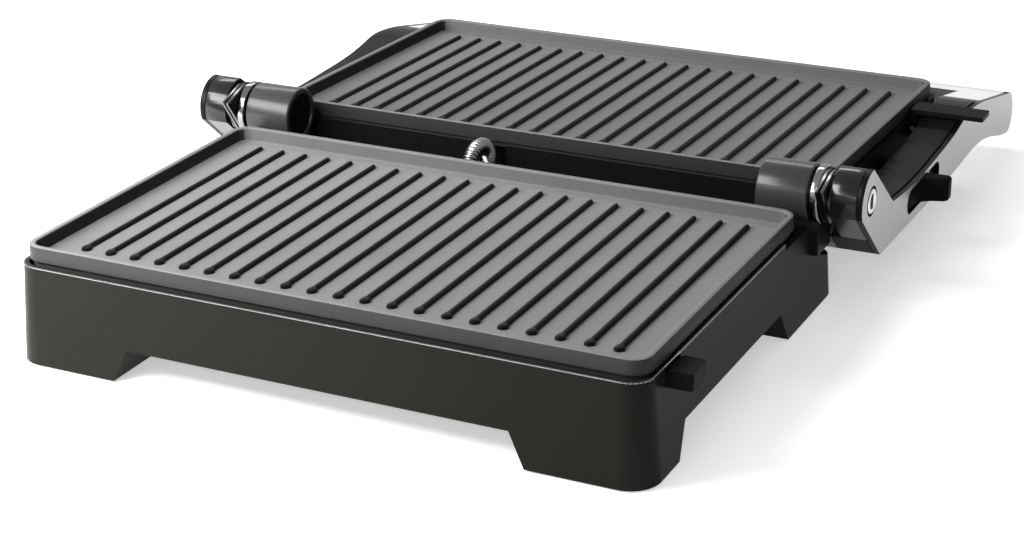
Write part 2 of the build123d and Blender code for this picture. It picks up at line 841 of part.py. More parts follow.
slot_height = slot_top - slot_bottom
slot_mid = ((slot_start + slot_end) / 2, (slot_bottom + slot_top) / 2)
body_rise = 0.8
pivot_grip = 6.0
pivot_drop = hinge_z - pivot_height
pivot_place = (
    hinge_y + pivot_y * math.cos(lean) - pivot_drop * math.sin(lean),
    hinge_z - pivot_y * math.sin(lean) - pivot_drop * math.cos(lean),
)
for hand, name in sides:
    with BuildPart() as arm_plate:
        with BuildSketch(side(hand * (arm_plate_outer_x - arm_plate_thickness))):
            add(arm_outline(0))
            make_face()
            with Locations(axis_place):
                Circle(screw_recess_radius, mode=Mode.SUBTRACT)
            if hand > 0:
                with Locations(slot_mid):
                    SlotOverall(slot_end - slot_start, slot_height, mode=Mode.SUBTRACT)
        extrude(amount=hand * arm_plate_thickness)
    write(arm_plate.part, f"arm_outer_plate_{name}")

    # the lug round the hinge pin, outside the latch lever
    with BuildPart() as arm_lug:
        with BuildSketch(side(hand * lug_x)):
            add(arm_outline(body_rise))
            make_face()
            with Locations(axis_place):
                Circle(lug_reach, mode=Mode.INTERSECT)
            with Locations(axis_place):
                Circle(pin_radius + lug_fit, mode=Mode.SUBTRACT)
        extrude(amount=hand * (arm_body_outer_x - lug_x))
    write(arm_lug.part, f"arm_lug_{name}")

    # the long body behind the lug, up to the handle
    with BuildPart() as arm_body:
        with BuildSketch(side(hand * arm_inner_x)):
            add(arm_outline(body_rise))
            make_face()
            with Locations(axis_place):
                Circle(lug_reach, mode=Mode.SUBTRACT)
            with Locations((body_end_y + arm_reach / 2, hinge_z)):
                Rectangle(arm_reach, 2 * hinge_z, mode=Mode.SUBTRACT)
        extrude(amount=hand * (arm_body_outer_x - arm_inner_x))
        with BuildSketch(side(hand * (arm_inner_x - 1))):
            with Locations(pivot_place):
                Circle(pivot_shank_radius)
        extrude(amount=hand * (pivot_grip + 1), mode=Mode.SUBTRACT)
        if hand > 0:
            with BuildSketch(side(arm_body_outer_x)):
                with Locations(slot_mid):
                    SlotOverall(slot_end - slot_start, slot_height)
            extrude(amount=-4, mode=Mode.SUBTRACT)
    write(arm_body.part, f"arm_body_{name}")

# Handle bar with its end blocks between the arms' outer plates
with BuildPart() as handle_bar:
    with BuildSketch(side(-arm_body_outer_x)):
        add(arm_outline(-0.4))
        make_face()
        with Locations((body_end_y + running_gap - arm_reach / 2, hinge_z)):
            Rectangle(arm_reach, 3 * hinge_z, mode=Mode.SUBTRACT)
    extrude(amount=2 * arm_body_outer_x)
    with BuildSketch(level(0)):
        with Locations((0, handle_front - arm_reach / 2)):
            Rectangle(2 * handle_inner_x, arm_reach)
    extrude(amount=2 * hinge_z, mode=Mode.SUBTRACT)
write(handle_bar.part, "handle_bar")

# Hinge release slider in the right arm's slot
with BuildPart() as hinge_release_slider:
    with BuildSketch(side(arm_body_outer_x - 3.7)):
        with Locations(((slider_start + slider_end) / 2, slot_mid[1])):
            SlotOverall(slider_end - slider_start, slot_height - 2 * running_gap)
    extrude(amount=5.5)
    with BuildSketch(side(arm_body_outer_x)):
        with Locations((tab_start + tab_depth / 2, slot_mid[1])):
            RectangleRounded(tab_depth, tab_height, 1.5)
    extrude(amount=tab_reach - arm_body_outer_x)
    chamfer(hinge_release_slider.faces().sort_by(Axis.X)[-1].edges(), length=1.2)
write(hinge_release_slider.part, "hinge_release_slider")

# Lid housing: walls, a web with posts, ears for the pivots and a pocket for the conduit
lid_lip = lid_rim_top - lid_lip_drop
lid_slab_bottom = lid_rim_top - ridge_drop - ridge_height - slab_thickness
lid_mid_y = (lid_near + lid_far) / 2
lid_depth = lid_far - lid_near
lid_corner = base_corner - 2
web_top = lid_split + web_thickness
lid_shift = lid_plate_near + lower_ridge_margin
conduit_lid_y = conduit_base_y + 2 * conduit_arch_radius
conduit_local_y = (conduit_lid_y - hinge_y) * math.cos(lean) - (conduit_end_z - hinge_z) * math.sin(lean)
cover_screw_x = tray_half_width + 2
cover_screw_places = [
    (-cover_screw_x, lid_near + 56),
    (cover_screw_x, lid_near + 56),
    (-cover_screw_x, lid_far - 24),
    (cover_screw_x, lid_far - 24),
]
paddle_mid_y = (paddle_front + paddle_rear) / 2
paddle_axis = (lid_side_half + 2.6, hinge_z - 14.1)
ear_thickness = 2.6
with BuildPart() as lid_housing:
    with BuildSketch(lid_level(lid_split)):
        with Locations((0, lid_mid_y)):
            RectangleRounded(2 * lid_side_half, lid_depth, lid_corner)
    extrude(amount=lid_lip - lid_split)
    with BuildSketch(lid_level(web_top)):
        with Locations((0, lid_mid_y)):
            RectangleRounded(
                2 * (lid_side_half - lid_wall),
                lid_depth - 2 * lid_wall,
                lid_corner - lid_wall,
            )
    extrude(amount=lid_lip, mode=Mode.SUBTRACT)
    # posts under the upper plate and under its tray
    with BuildSketch(lid_level(lid_split)):
        for post_y in (plate_post_front, plate_post_rear):
            with Locations((-plate_post_x, post_y + lid_shift), (plate_post_x, post_y + lid_shift)):
                Circle(post_radius)
    extrude(amount=lid_slab_bottom - lid_split)
    with BuildSketch(lid_level(lid_split)):
        for post_y in (tray_front + 8, tray_rear - 8):
            with Locations((-tray_post_x, post_y + lid_shift), (tray_post_x, post_y + lid_shift)):
                Circle(post_radius)
    extrude(amount=lid_slab_bottom - tray_drop - lid_split)
    # pocket for the conduit in the near wall
    with BuildSketch(lid_level(lid_split)):
        with Locations((conduit_x, lid_near + pocket_depth / 2 + 1)):
            Rectangle(2 * pocket_half_width + 4, pocket_depth + 2)
    extrude(amount=lid_slab_bottom - running_gap - lid_split)
    with BuildSketch(lid_level(web_top)):
        with Locations((conduit_x, lid_near + pocket_depth / 2 - 5)):
            Rectangle(2 * pocket_half_width, pocket_depth + 10)
    extrude(amount=lid_lip, mode=Mode.SUBTRACT)
    # bosses that the pivot pins turn in
    for hand in (-1, 1):
        with BuildSketch(lid_side(hand * lid_side_half)):
            with Locations((pivot_y, pivot_height)):
                Circle(pivot_radius + 3)
        extrude(amount=-hand * 9)
        with BuildSketch(lid_side(hand * (lid_side_half + 1))):
            with Locations((pivot_y, pivot_height)):
                Circle(pivot_radius + turn_fit)
        extrude(amount=-hand * 8, mode=Mode.SUBTRACT)
    # ears and slot for the upper plate's release
    for ear_y in (paddle_front - 0.4 - ear_thickness, paddle_rear + 0.4):
        with BuildSketch(level(paddle_axis[1] - 3.5)):
            with Locations(((lid_side_half - 1 + paddle_axis[0] + 1.8) / 2, ear_y + ear_thickness / 2)):
                Rectangle(paddle_axis[0] + 1.8 - lid_side_half + 1, ear_thickness)
        extrude(amount=6)
    with BuildSketch(facing_front(paddle_rear + 10)):
        with Locations(paddle_axis):
            Circle(paddle_pin_radius + pin_fit)
    extrude(amount=paddle_width + 20, mode=Mode.SUBTRACT)
    with BuildSketch(side(lid_side_half - lid_wall - 1)):
        with Locations((paddle_mid_y, paddle_axis[1] - 4.8)):
            Rectangle(paddle_width - 3, 7)
    extrude(amount=lid_wall + 2, mode=Mode.SUBTRACT)
    # screw holes for the cover
    with BuildSketch(lid_level(lid_split)):
        with Locations(*cover_screw_places):
            Circle(screw_radius + pin_fit)
    extrude(amount=web_thickness, mode=Mode.SUBTRACT)
write(lid_housing.part, "lid_housing")

make_heating(lid_level, lid_shift, lid_slab_bottom, "upper")

# Lid cover: a drafted shell, cut away near the hinge so that it clears the base's rear
cover_draft = 12.0
cut_length = 52.0
cut_clearance = 0.4
tower_radius = 5.0
head_seat = lid_bottom + 5


def cover_form(inset):
    """The cover's outer form, or its hollow where `inset` is the wall."""
    with BuildPart() as form:
        with BuildSketch(lid_level(lid_split)):
            with Locations((0, lid_mid_y)):
                RectangleRounded(
                    2 * (lid_side_half - inset),
                    lid_depth - 2 * inset,
                    lid_corner - inset,
                )
        extrude(amount=-(lid_split - lid_bottom - inset), taper=cover_draft)
        with BuildSketch(lid_side(-lid_side_half - 10)):
            Polygon(
                (lid_near + inset, lid_split - cut_clearance),
                (lid_near + cut_length + inset, lid_bottom - 1),
                (lid_near - cut_length, lid_bottom - 1),
                (lid_near - cut_length, lid_split - cut_clearance),
                align=None,
            )
        extrude(amount=2 * lid_side_half + 20, mode=Mode.SUBTRACT)
    return form.part


cover_outer = cover_form(0)
cover_hollow = cover_form(cover_wall)
with BuildPart() as lid_cover:
    add(cover_outer)
    add(cover_hollow, mode=Mode.SUBTRACT)
    # screw towers, counterbored from outside
    with BuildSketch(lid_level(lid_split)):
        with Locations(*cover_screw_places):
            Circle(tower_radius)
    extrude(amount=-(lid_split - lid_bottom - 0.5))
    with BuildSketch(lid_level(lid_split)):
        with Locations(*cover_screw_places):
            Circle(screw_radius + pin_fit)
    extrude(amount=-lid_split, mode=Mode.SUBTRACT)
    with BuildSketch(lid_level(head_seat)):
        with Locations(*cover_screw_places):
            Circle(screw_head + running_gap)
    extrude(amount=-lid_split, mode=Mode.SUBTRACT)
write(lid_cover.part, "lid_cover")

# Screws of the lid cover
with BuildPart() as lid_cover_screws:
    with BuildSketch(lid_level(head_seat)):
        with Locations(*cover_screw_places):
            Circle(screw_head)
    extrude(amount=-screw_head_height)
    with BuildSketch(lid_level(head_seat)):
        with Locations(*cover_screw_places):
            Circle(screw_radius)
    extrude(amount=web_top - head_seat)
write(lid_cover_screws.part, "lid_cover_screws")

# Pivot pins: a thick end that the lid turns on and a shank in the arm
pivot_depth = 6.5
for hand, name in sides:
    with BuildPart() as pivot_pin:
        with BuildSketch(side(hand * (lid_side_half - pivot_depth))):
            with Locations(pivot_place):
                Circle(pivot_radius)
        extrude(amount=hand * (arm_inner_x - lid_side_half + pivot_depth))
        with BuildSketch(side(hand * arm_inner_x)):
            with Locations(pivot_place):
                Circle(pivot_shank_radius - pin_fit)
        extrude(amount=hand * pivot_grip)
    write(pivot_pin.part, f"lid_pivot_pin_{name}")

# Upper plate release: a thin blade over the arm, a stem, a tongue, and its pin and spring
with BuildPart() as upper_release_paddle:
    with BuildSketch(level(paddle_bottom)):
        with Locations(((lid_side_half + 0.6 + paddle_reach) / 2, paddle_mid_y)):
            RectangleRounded(paddle_reach - lid_side_half - 0.6, paddle_width, 1)
    extrude(amount=paddle_thickness)
    with BuildSketch(level(paddle_axis[1])):
        with Locations((lid_side_half + 0.6 + 1.4, paddle_mid_y)):
            Rectangle(2.8, paddle_width)
    extrude(amount=paddle_bottom - paddle_axis[1] + 1)
    with BuildSketch(facing_front(paddle_rear)):
        with Locations(paddle_axis):
            Circle(2.2)
            Circle(paddle_pin_radius + lug_fit, mode=Mode.SUBTRACT)
    extrude(amount=paddle_width)
    with BuildSketch(facing_front(paddle_rear - 2)):
        Polygon(
            (paddle_axis[0] - 1.2, paddle_axis[1] - 1.5),
            (paddle_axis[0] + 1.2, paddle_axis[1] - 1.5),
            (paddle_axis[0] + 1.2, paddle_axis[1] - 6.0),
            (paddle_axis[0] - 8.0, paddle_axis[1] - 6.0),
            (paddle_axis[0] - 8.0, paddle_axis[1] - 4.2),
            (paddle_axis[0] - 1.2, paddle_axis[1] - 4.2),
            align=None,
        )
    extrude(amount=paddle_width - 4)
    with BuildSketch(facing_front(paddle_rear + 1)):
        with Locations(paddle_axis):
            Circle(paddle_pin_radius + lug_fit)
    extrude(amount=paddle_width + 2, mode=Mode.SUBTRACT)
write(upper_release_paddle.part, "upper_release_paddle")

with BuildPart() as paddle_pin:
    with BuildSketch(facing_front(paddle_rear + 0.4 + ear_thickness)):
        with Locations(paddle_axis):
            Circle(paddle_pin_radius)
    extrude(amount=paddle_width + 0.8 + 2 * ear_thickness)
write(paddle_pin.part, "paddle_pin")

with BuildPart() as upper_release_spring:
    web_world = hinge_z - (paddle_mid_y - hinge_y) * math.tan(lean) + (web_top - hinge_z)
    with BuildSketch(level(web_world + 0.4)):
        with Locations((lid_side_half - 4.4, paddle_mid_y)):
            Circle(1.8)
            Circle(1.2, mode=Mode.SUBTRACT)
    extrude(amount=paddle_axis[1] - 6.3 - web_world - 0.4)
write(upper_release_spring.part, "upper_release_spring")

# Spring clips at the upper plate's left edge
with BuildPart() as upper_plate_clips:
    with BuildSketch(lid_level(web_top)):
        with Locations(
            (-lid_side_half + lid_wall + clip_offset, clip_front + lid_shift),
            (-lid_side_half + lid_wall + clip_offset, clip_rear + lid_shift),
        ):
            Rectangle(clip_sheet, clip_length)
    extrude(amount=lid_slab_bottom - web_top)
write(upper_plate_clips.part, "upper_plate_clips")

# Spring behind the hinge release slider
with BuildPart() as slider_spring:
    with BuildSketch(facing_front(slider_end + running_gap)):
        with Locations((arm_body_outer_x - 2, slot_mid[1])):
            Circle(1.5)
            Circle(1.0, mode=Mode.SUBTRACT)
    extrude(amount=-(slot_end - slider_end - 2 * running_gap))
write(slider_spring.part, "slider_spring")

# Conduit: a ribbed metal hose that arches from the base's deck down into the lid's pocket
rise = conduit_arch_height - conduit_start_z
arch = math.pi * conduit_arch_radius
drop = conduit_arch_height - conduit_end_z
conduit_length = rise + arch + drop


def conduit_plane(distance):
    """The plane square to the hose at a distance along it, with its local x kept along X."""
    if distance <= rise:
        place = (conduit_base_y, conduit_start_z + distance)
        heading = (0, 0, 1)
    elif distance <= rise + arch:
        turned = (distance - rise) / conduit_arch_radius
        place = (
            conduit_base_y + conduit_arch_radius * (1 - math.cos(turned)),
            conduit_arch_height + conduit_arch_radius * math.sin(turned),
        )
        heading = (0, math.sin(turned), math.cos(turned))
    else:
        place = (conduit_lid_y, conduit_arch_height - (distance - rise - arch))
        heading = (0, 0, -1)
    return Plane(
        origin=(conduit_x - mid_x, place[0] - mid_y, place[1]),
        x_dir=(1, 0, 0),
        z_dir=heading,
    )


rib_count = round(conduit_length / conduit_rib_pitch)
rib_length = conduit_length / rib_count
with BuildPart() as conduit:
    for rib in range(rib_count):
        start = rib * rib_length
        stations = (
            (start, conduit_root_radius),
            (start + 0.3 * rib_length, conduit_outer_radius),
            (start + 0.7 * rib_length, conduit_outer_radius),
            (start + rib_length, conduit_root_radius),
        )
        for distance, radius in stations:
            with BuildSketch(conduit_plane(min(distance, conduit_length))):
                Circle(radius)
        loft(ruled=True)
    with BuildLine() as bore_line:
        up = Line((conduit_plane(0).origin), (conduit_plane(rise).origin))
        over = ThreePointArc(
            conduit_plane(rise).origin,
            conduit_plane(rise + arch / 2).origin,
            conduit_plane(rise + arch).origin,
        )
        down = Line(conduit_plane(rise + arch).origin, conduit_plane(conduit_length).origin)
    with BuildSketch(conduit_plane(0)):
        Circle(conduit_bore_radius)
    sweep(path=bore_line.line, mode=Mode.SUBTRACT)
write(conduit.part, "conduit")

# Ferrules that hold the conduit's two ends
with BuildPart() as conduit_base_ferrule:
    with BuildSketch(level(floor_top)):
        with Locations((conduit_x, conduit_base_y)):
            Circle(conduit_outer_radius + 1.2 - pin_fit)
    extrude(amount=conduit_start_z - floor_top)
    with BuildSketch(level(conduit_start_z)):
        with Locations((conduit_x, conduit_base_y)):
            Circle(conduit_outer_radius + 2.4)
            Circle(conduit_outer_radius + 0.08, mode=Mode.SUBTRACT)
    extrude(amount=3)
    with BuildSketch(level(floor_top)):
        with Locations((conduit_x, conduit_base_y)):
            Circle(conduit_bore_radius)
    extrude(amount=20, mode=Mode.SUBTRACT)
write(conduit_base_ferrule.part, "conduit_base_ferrule")

with BuildPart() as conduit_lid_ferrule:
    with BuildSketch(lid_level(web_top)):
        with Locations((conduit_x, conduit_local_y)):
            Circle(conduit_outer_radius + 2)
            Circle(conduit_outer_radius + 0.3, mode=Mode.SUBTRACT)
    extrude(amount=3)
write(conduit_lid_ferrule.part, "conduit_lid_ferrule")
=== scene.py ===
"""Looks for a contact grill that lies open: finishes, fine forms, floor, light and camera."""

import math

import bmesh
import bpy
from mathutils import Matrix, Vector


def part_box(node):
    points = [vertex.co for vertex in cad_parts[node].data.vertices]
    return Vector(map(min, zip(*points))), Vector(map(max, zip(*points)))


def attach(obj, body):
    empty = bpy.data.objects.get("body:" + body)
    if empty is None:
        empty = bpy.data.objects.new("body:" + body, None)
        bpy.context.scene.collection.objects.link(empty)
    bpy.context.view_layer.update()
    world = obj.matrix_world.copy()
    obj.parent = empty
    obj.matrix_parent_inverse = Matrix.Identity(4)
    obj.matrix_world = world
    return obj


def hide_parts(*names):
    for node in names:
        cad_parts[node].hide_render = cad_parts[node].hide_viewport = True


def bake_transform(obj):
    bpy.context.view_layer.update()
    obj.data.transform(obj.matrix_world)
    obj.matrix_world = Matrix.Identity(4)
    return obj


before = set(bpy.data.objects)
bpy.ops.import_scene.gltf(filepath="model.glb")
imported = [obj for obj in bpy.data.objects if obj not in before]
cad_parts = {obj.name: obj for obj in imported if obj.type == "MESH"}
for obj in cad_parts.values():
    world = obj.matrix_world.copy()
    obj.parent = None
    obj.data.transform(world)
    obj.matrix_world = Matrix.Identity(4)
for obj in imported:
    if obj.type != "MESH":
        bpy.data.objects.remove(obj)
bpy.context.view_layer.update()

bl_info = {
    "name": "Contact Grill Looks",
    "version": (1, 0, 0),
    "blender": (4, 5, 0),
    "location": "3D View > Sidebar > Grill",
    "description": "Finishes, fine forms and a plain studio for a contact grill",
    "category": "Object",
}

MM = 0.001

# The part is drawn in millimetres from the plates' middle, the lower plate's front and the table
PLATE_LOW, PLATE_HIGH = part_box("lower_plate")
COLLAR_LOW, COLLAR_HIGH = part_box("hub_collar_right")
MIDDLE_X = (PLATE_LOW.x + PLATE_HIGH.x) / 2
PLATE_WIDTH = (PLATE_HIGH.x - PLATE_LOW.x) / MM
PLATE_DEPTH = (PLATE_HIGH.y - PLATE_LOW.y) / MM
PLATE_CORNER = 9.0
HINGE = (COLLAR_LOW + COLLAR_HIGH) / 2
HINGE.x = MIDDLE_X
LID_SAG = math.radians(1.5)
LEVEL = Matrix.Translation((MIDDLE_X, PLATE_LOW.y, 0)) @ Matrix.Scale(MM, 4)
AT_HINGE = Matrix.Translation(HINGE) @ Matrix.Scale(MM, 4)
OPEN_LID = Matrix.Translation(HINGE) @ Matrix.Rotation(-LID_SAG, 4, "X") @ Matrix.Scale(MM, 4)
PLATE_GAP = 0.5
RIM_HEIGHT = 10.0
LOWER_TOP = PLATE_HIGH.z / MM
UPPER_TOP = HINGE.z / MM - LOWER_TOP - PLATE_GAP
SIDES = ((-1, "left"), (1, "right"))


# Shader maths


class Value:
    """A number socket that adds Math nodes when it is used in a sum."""

    def __init__(self, shader, socket):
        self.shader = shader
        self.socket = socket

    def __add__(self, other):
        return self.shader.maths("ADD", self, other)

    def __sub__(self, other):
        return self.shader.maths("SUBTRACT", self, other)

    def __rsub__(self, other):
        return self.shader.maths("SUBTRACT", other, self)

    def __mul__(self, other):
        return self.shader.maths("MULTIPLY", self, other)

    def __pow__(self, other):
        return self.shader.maths("POWER", self, other)

    __radd__ = __add__
    __rmul__ = __mul__


class Shader:
    """A material or a world under construction."""

    def __init__(self, name, store="materials"):
        self.made = getattr(bpy.data, store).new(name)
        self.made.use_nodes = True
        self.tree = self.made.node_tree
        self.tree.nodes.clear()
        self.place = self.node("ShaderNodeTexCoord").outputs["Object"]

    def node(self, kind, settings=None, **sockets):
        """A node of a type, its settings first, then the values or links of its sockets."""
        made = self.tree.nodes.new(kind)
        for key, value in (settings or {}).items():
            if key == "stops":
                ramp = made.color_ramp.elements
                while len(ramp) < len(value):
                    ramp.new(0.5)
                for stop, (where, grey) in zip(ramp, value):
                    stop.position = where
                    stop.color = (grey, grey, grey, 1)
            else:
                setattr(made, key, value)
        for key, value in sockets.items():
            self.feed(made, key.replace("_", " "), value)
        return made

    def feed(self, made, key, value):
        """Set or link one input, found by its name or its number."""
        name = int(key) if key.isdigit() else key
        socket = made.inputs[name]
        if isinstance(value, Value):
            self.tree.links.new(value.socket, socket)
        elif isinstance(value, bpy.types.NodeSocket):
            self.tree.links.new(value, socket)
        elif socket.type == "RGBA" and len(value) == 3:
            socket.default_value = (*value, 1)
        else:
            socket.default_value = value

    def value(self, kind, output, **sockets):
        """A new node's output as a number to reckon with."""
        return Value(self, self.node(kind, **sockets).outputs[output])

    def maths(self, operation, first, second):
        made = self.node("ShaderNodeMath", {"operation": operation})
        self.feed(made, "0", first)
        self.feed(made, "1", second)
        return Value(self, made.outputs[0])

    def stretched(self, scale):
        """Object coordinates scaled along each axis, for grain that runs one way."""
        made = self.node("ShaderNodeVectorMath", {"operation": "MULTIPLY"})
        self.feed(made, "0", self.place)
        self.feed(made, "1", scale)
        return made.outputs[0]

    def noise(self, size, detail=2.0, rough=0.5, along=None):
        """Noise whose features are about `size` metres across, from 0 to 1."""
        return self.value(
            "ShaderNodeTexNoise",
            "Fac",
            Vector=along or self.place,
            Scale=1.0 / size,
            Detail=detail,
            Roughness=rough,
        )

    def cells(self, size):
        """One random colour for each cell of about `size` metres."""
        made = self.node("ShaderNodeTexVoronoi", Vector=self.place, Scale=1.0 / size)
        return made.outputs["Color"]

    def ramp(self, value, *stops):
        """Bend a value through grey stops."""
        made = self.node("ShaderNodeValToRGB", {"stops": stops}, Fac=value)
        return Value(self, made.outputs["Color"])

    def mixed(self, mask, first, second):
        """A colour between two colours."""
        made = self.node("ShaderNodeMix", {"data_type": "RGBA"})
        self.feed(made, "0", mask)
        self.feed(made, "6", first)
        self.feed(made, "7", second)
        return made.outputs[2]

    def bump(self, height, distance, strength=1.0):
        """Small relief, `distance` metres high."""
        made = self.node("ShaderNodeBump", Height=height, Distance=distance, Strength=strength)
        return made.outputs["Normal"]

    def seen_rays(self):
        """1 on rays that show the surroundings, straight, in a gloss or through glass."""
        path = self.node("ShaderNodeLightPath").outputs
        rays = [Value(self, path[f"Is {kind} Ray"]) for kind in ("Camera", "Glossy", "Transmission")]
        return rays[0] + rays[1] + rays[2]

    def output(self, kind, surface):
        """Close the tree with its output node."""
        self.tree.links.new(surface.outputs[0], self.node(kind).inputs[0])
        return self.made

    def principled(self, **sockets):
        """Finish the material with one surface shader."""
        surface = self.node("ShaderNodeBsdfPrincipled", **sockets)
        return self.output("ShaderNodeOutputMaterial", surface)


def shade(colour, amount):
    """A colour made lighter or darker by a factor."""
    return tuple(min(1.0, channel * amount) for channel in colour)


# Mesh making

CORNER_STEPS = 6
CREASE = math.radians(38)
WELD = 0.02
BEVEL_FROM = math.radians(32)


def arc(radius, start, sweep, steps):
    """Points about the origin from `start` through `sweep` degrees, both ends included."""
    turns = [math.radians(start + sweep * step / steps) for step in range(steps + 1)]
    return [(radius * math.cos(turn), radius * math.sin(turn)) for turn in turns]


def circle(radius, count):
    """Points evenly round the origin."""
    return arc(radius, 0, 360, count)[:-1]


def rounded_box(width, depth, corner, height, middle=(0, 0)):
    """The points of a rounded rectangle at a height, anticlockwise from its front right."""
    points = []
    for turn, (sx, sy) in enumerate(((1, -1), (1, 1), (-1, 1), (-1, -1))):
        for x, y in arc(corner, turn * 90 - 90, 90, CORNER_STEPS):
            x += middle[0] + sx * (width / 2 - corner)
            y += middle[1] + sy * (depth / 2 - corner)
            points.append((x, y, height))
    return points


def skin(bm, outlines, place, material=0):
    """Cover a run of like outlines with faces, close its ends, and move it into place."""
    rings = [[bm.verts.new(place @ Vector(point)) for point in outline] for outline in outlines]
    faces = []
    for low, high in zip(rings, rings[1:]):
        for i in range(len(low)):
            j = (i + 1) % len(low)
            faces.append(bm.faces.new((low[i], low[j], high[j], high[i])))
    faces.append(bm.faces.new(rings[0][::-1]))
    faces.append(bm.faces.new(rings[-1]))
    for face in faces:
        face.material_index = material
    return faces


def solid(name, bm, finishes):
    """Turn a closed mesh into a smooth object that wears its finishes, faces outward."""
    bmesh.ops.recalc_face_normals(bm, faces=bm.faces)
    if bm.calc_volume(signed=True) < 0:
        bmesh.ops.reverse_faces(bm, faces=bm.faces)
    mesh = bpy.data.meshes.new(name)
    bm.to_mesh(mesh)
    bm.free()
    mesh.shade_smooth()
    for finish in finishes:
        mesh.materials.append(bpy.data.materials[finish])
    made = bpy.data.objects.new(name, mesh)
    bpy.context.scene.collection.objects.link(made)
    return made


def piece(name, bm, body, finishes, replaces=()):
    """Make a solid with creased edges that rides on a body."""
    made = solid(name, bm, finishes)
    made.data.set_sharp_from_angle(angle=CREASE)
    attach(made, body)
    if replaces:
        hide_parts(*replaces)


def round_edges(made, radius):
    """Round an object's sharp edges with modifiers, its mesh left as it is."""
    weld = made.modifiers.new("weld", "WELD")
    weld.merge_threshold = WELD * MM
    bevel = made.modifiers.new("edge", "BEVEL")
    bevel.width = radius * MM
    bevel.segments = 2
    bevel.limit_method = "ANGLE"
    bevel.angle_limit = BEVEL_FROM
    bevel.harden_normals = True
    bevel.use_clamp_overlap = True


def from_middle(low, high):
    """How near to and how far from the middle plane a box lies, in millimetres."""
    return sorted(abs(x - MIDDLE_X) / MM for x in (low.x, high.x))


# Finishes, with the sizes of grain and the heights of bumps in metres

METAL_GRAIN = 0.0007
METAL_DRIFT = 0.035
METAL_RELIEF = 0.00002
LOW_GLOSS = 0.05


def nonstick_coating(name, colour, relief, gloss):
    """Sprayed non-stick coating on cast metal: fine grain, faint pale speckle, soft sheen."""
    s = Shader(name)
    grain = s.noise(0.00055, detail=3, rough=0.65)
    clouds = s.noise(0.03)
    speck = s.ramp(s.noise(0.0009, detail=1), (0.62, 0.0), (0.74, 1.0))
    tone = s.mixed(clouds * 0.4 + grain * 0.6, shade(colour, 0.78), shade(colour, 1.22))
    return s.principled(
        Base_Color=s.mixed(speck * 0.3, tone, shade(colour, 1.7)),
        Roughness=clouds * 0.08 + grain * 0.14 + 0.36,
        Specular_IOR_Level=gloss,
        Normal=s.bump(grain, relief, 0.55),
    )


def satin_plastic(name, colour, roughness, gloss):
    """Moulded plastic with a very fine skin and slow changes of sheen."""
    s = Shader(name)
    grain = s.noise(0.0012)
    drift = s.noise(0.06)
    return s.principled(
        Base_Color=s.mixed(drift, shade(colour, 0.9), shade(colour, 1.12)),
        Roughness=drift * 0.08 + grain * 0.05 + (roughness - 0.06),
        Specular_IOR_Level=gloss,
        Normal=s.bump(grain, 0.00004, 0.35),
    )


def blasted(s, colour):
    """The grain, the slow drift and the colour of blasted metal."""
    grain = s.noise(METAL_GRAIN, detail=3, rough=0.6)
    drift = s.noise(METAL_DRIFT)
    tone = s.mixed(grain * 0.6 + drift * 0.4, shade(colour, 0.93), shade(colour, 1.06))
    return grain, drift, tone


def satin_metal(name, colour, roughness):
    """Blasted bare metal."""
    s = Shader(name)
    grain, drift, tone = blasted(s, colour)
    return s.principled(
        Base_Color=tone,
        Metallic=1.0,
        Roughness=grain * 0.07 + drift * 0.07 + (roughness - 0.07),
        Normal=s.bump(grain, METAL_RELIEF, 0.3),
    )


def faced_silver(name, colour, edge):
    """Satin silver on the faces to left and right, black on the edges between them."""
    s = Shader(name)
    facing = s.node("ShaderNodeTexCoord").outputs["Normal"]
    sideways = s.value("ShaderNodeSeparateXYZ", "X", Vector=facing)
    face = s.ramp(sideways**2, (0.45, 0.0), (0.75, 1.0))
    grain, drift, silver = blasted(s, colour)
    return s.principled(
        Base_Color=s.mixed(face, edge, silver),
        Metallic=face * 0.9,
        Roughness=grain * 0.07 + drift * 0.07 + 0.27,
        Specular_IOR_Level=LOW_GLOSS,
        Normal=s.bump(grain, METAL_RELIEF, 0.3),
    )


def painted_metal(name, colour, paint, limit):
    """Brushed metal that is painted black up to `limit`, in metres along Y."""
    s = Shader(name)
    along = s.value("ShaderNodeSeparateXYZ", "Y", Vector=s.place)
    bare = s.ramp((along - limit) * 4000 + 0.5, (0.0, 0.0), (1.0, 1.0))
    lines = s.noise(METAL_GRAIN, detail=3, rough=0.6, along=s.stretched((0.05, 1, 1)))
    metal = s.mixed(lines, shade(colour, 0.94), shade(colour, 1.05))
    return s.principled(
        Base_Color=s.mixed(bare, paint, metal),
        Metallic=bare,
        Roughness=lines * 0.1 + 0.26,
        Specular_IOR_Level=LOW_GLOSS,
        Normal=s.bump(lines, METAL_RELIEF, 0.3),
    )


def chrome_plate(name, colour):
    """Bright plating with faint smears that change its gloss."""
    s = Shader(name)
    smear = s.noise(0.012, detail=4, rough=0.6)
    return s.principled(
        Base_Color=s.mixed(smear, shade(colour, 0.94), shade(colour, 1.04)),
        Metallic=1.0,
        Roughness=s.ramp(smear, (0.3, 0.07), (0.8, 0.19)),
        Normal=s.bump(smear, 0.00001, 0.2),
    )


def spangled_sheet(name, colour):
    """Hot-dip coated sheet with its crystal pattern."""
    s = Shader(name)
    crystal = s.value("ShaderNodeSeparateColor", "Red", Color=s.cells(0.006))
    return s.principled(
        Base_Color=s.mixed(crystal, shade(colour, 0.8), shade(colour, 1.1)),
        Metallic=1.0,
        Roughness=crystal * 0.18 + 0.28,
        Normal=s.bump(crystal, METAL_RELIEF, 0.4),
    )


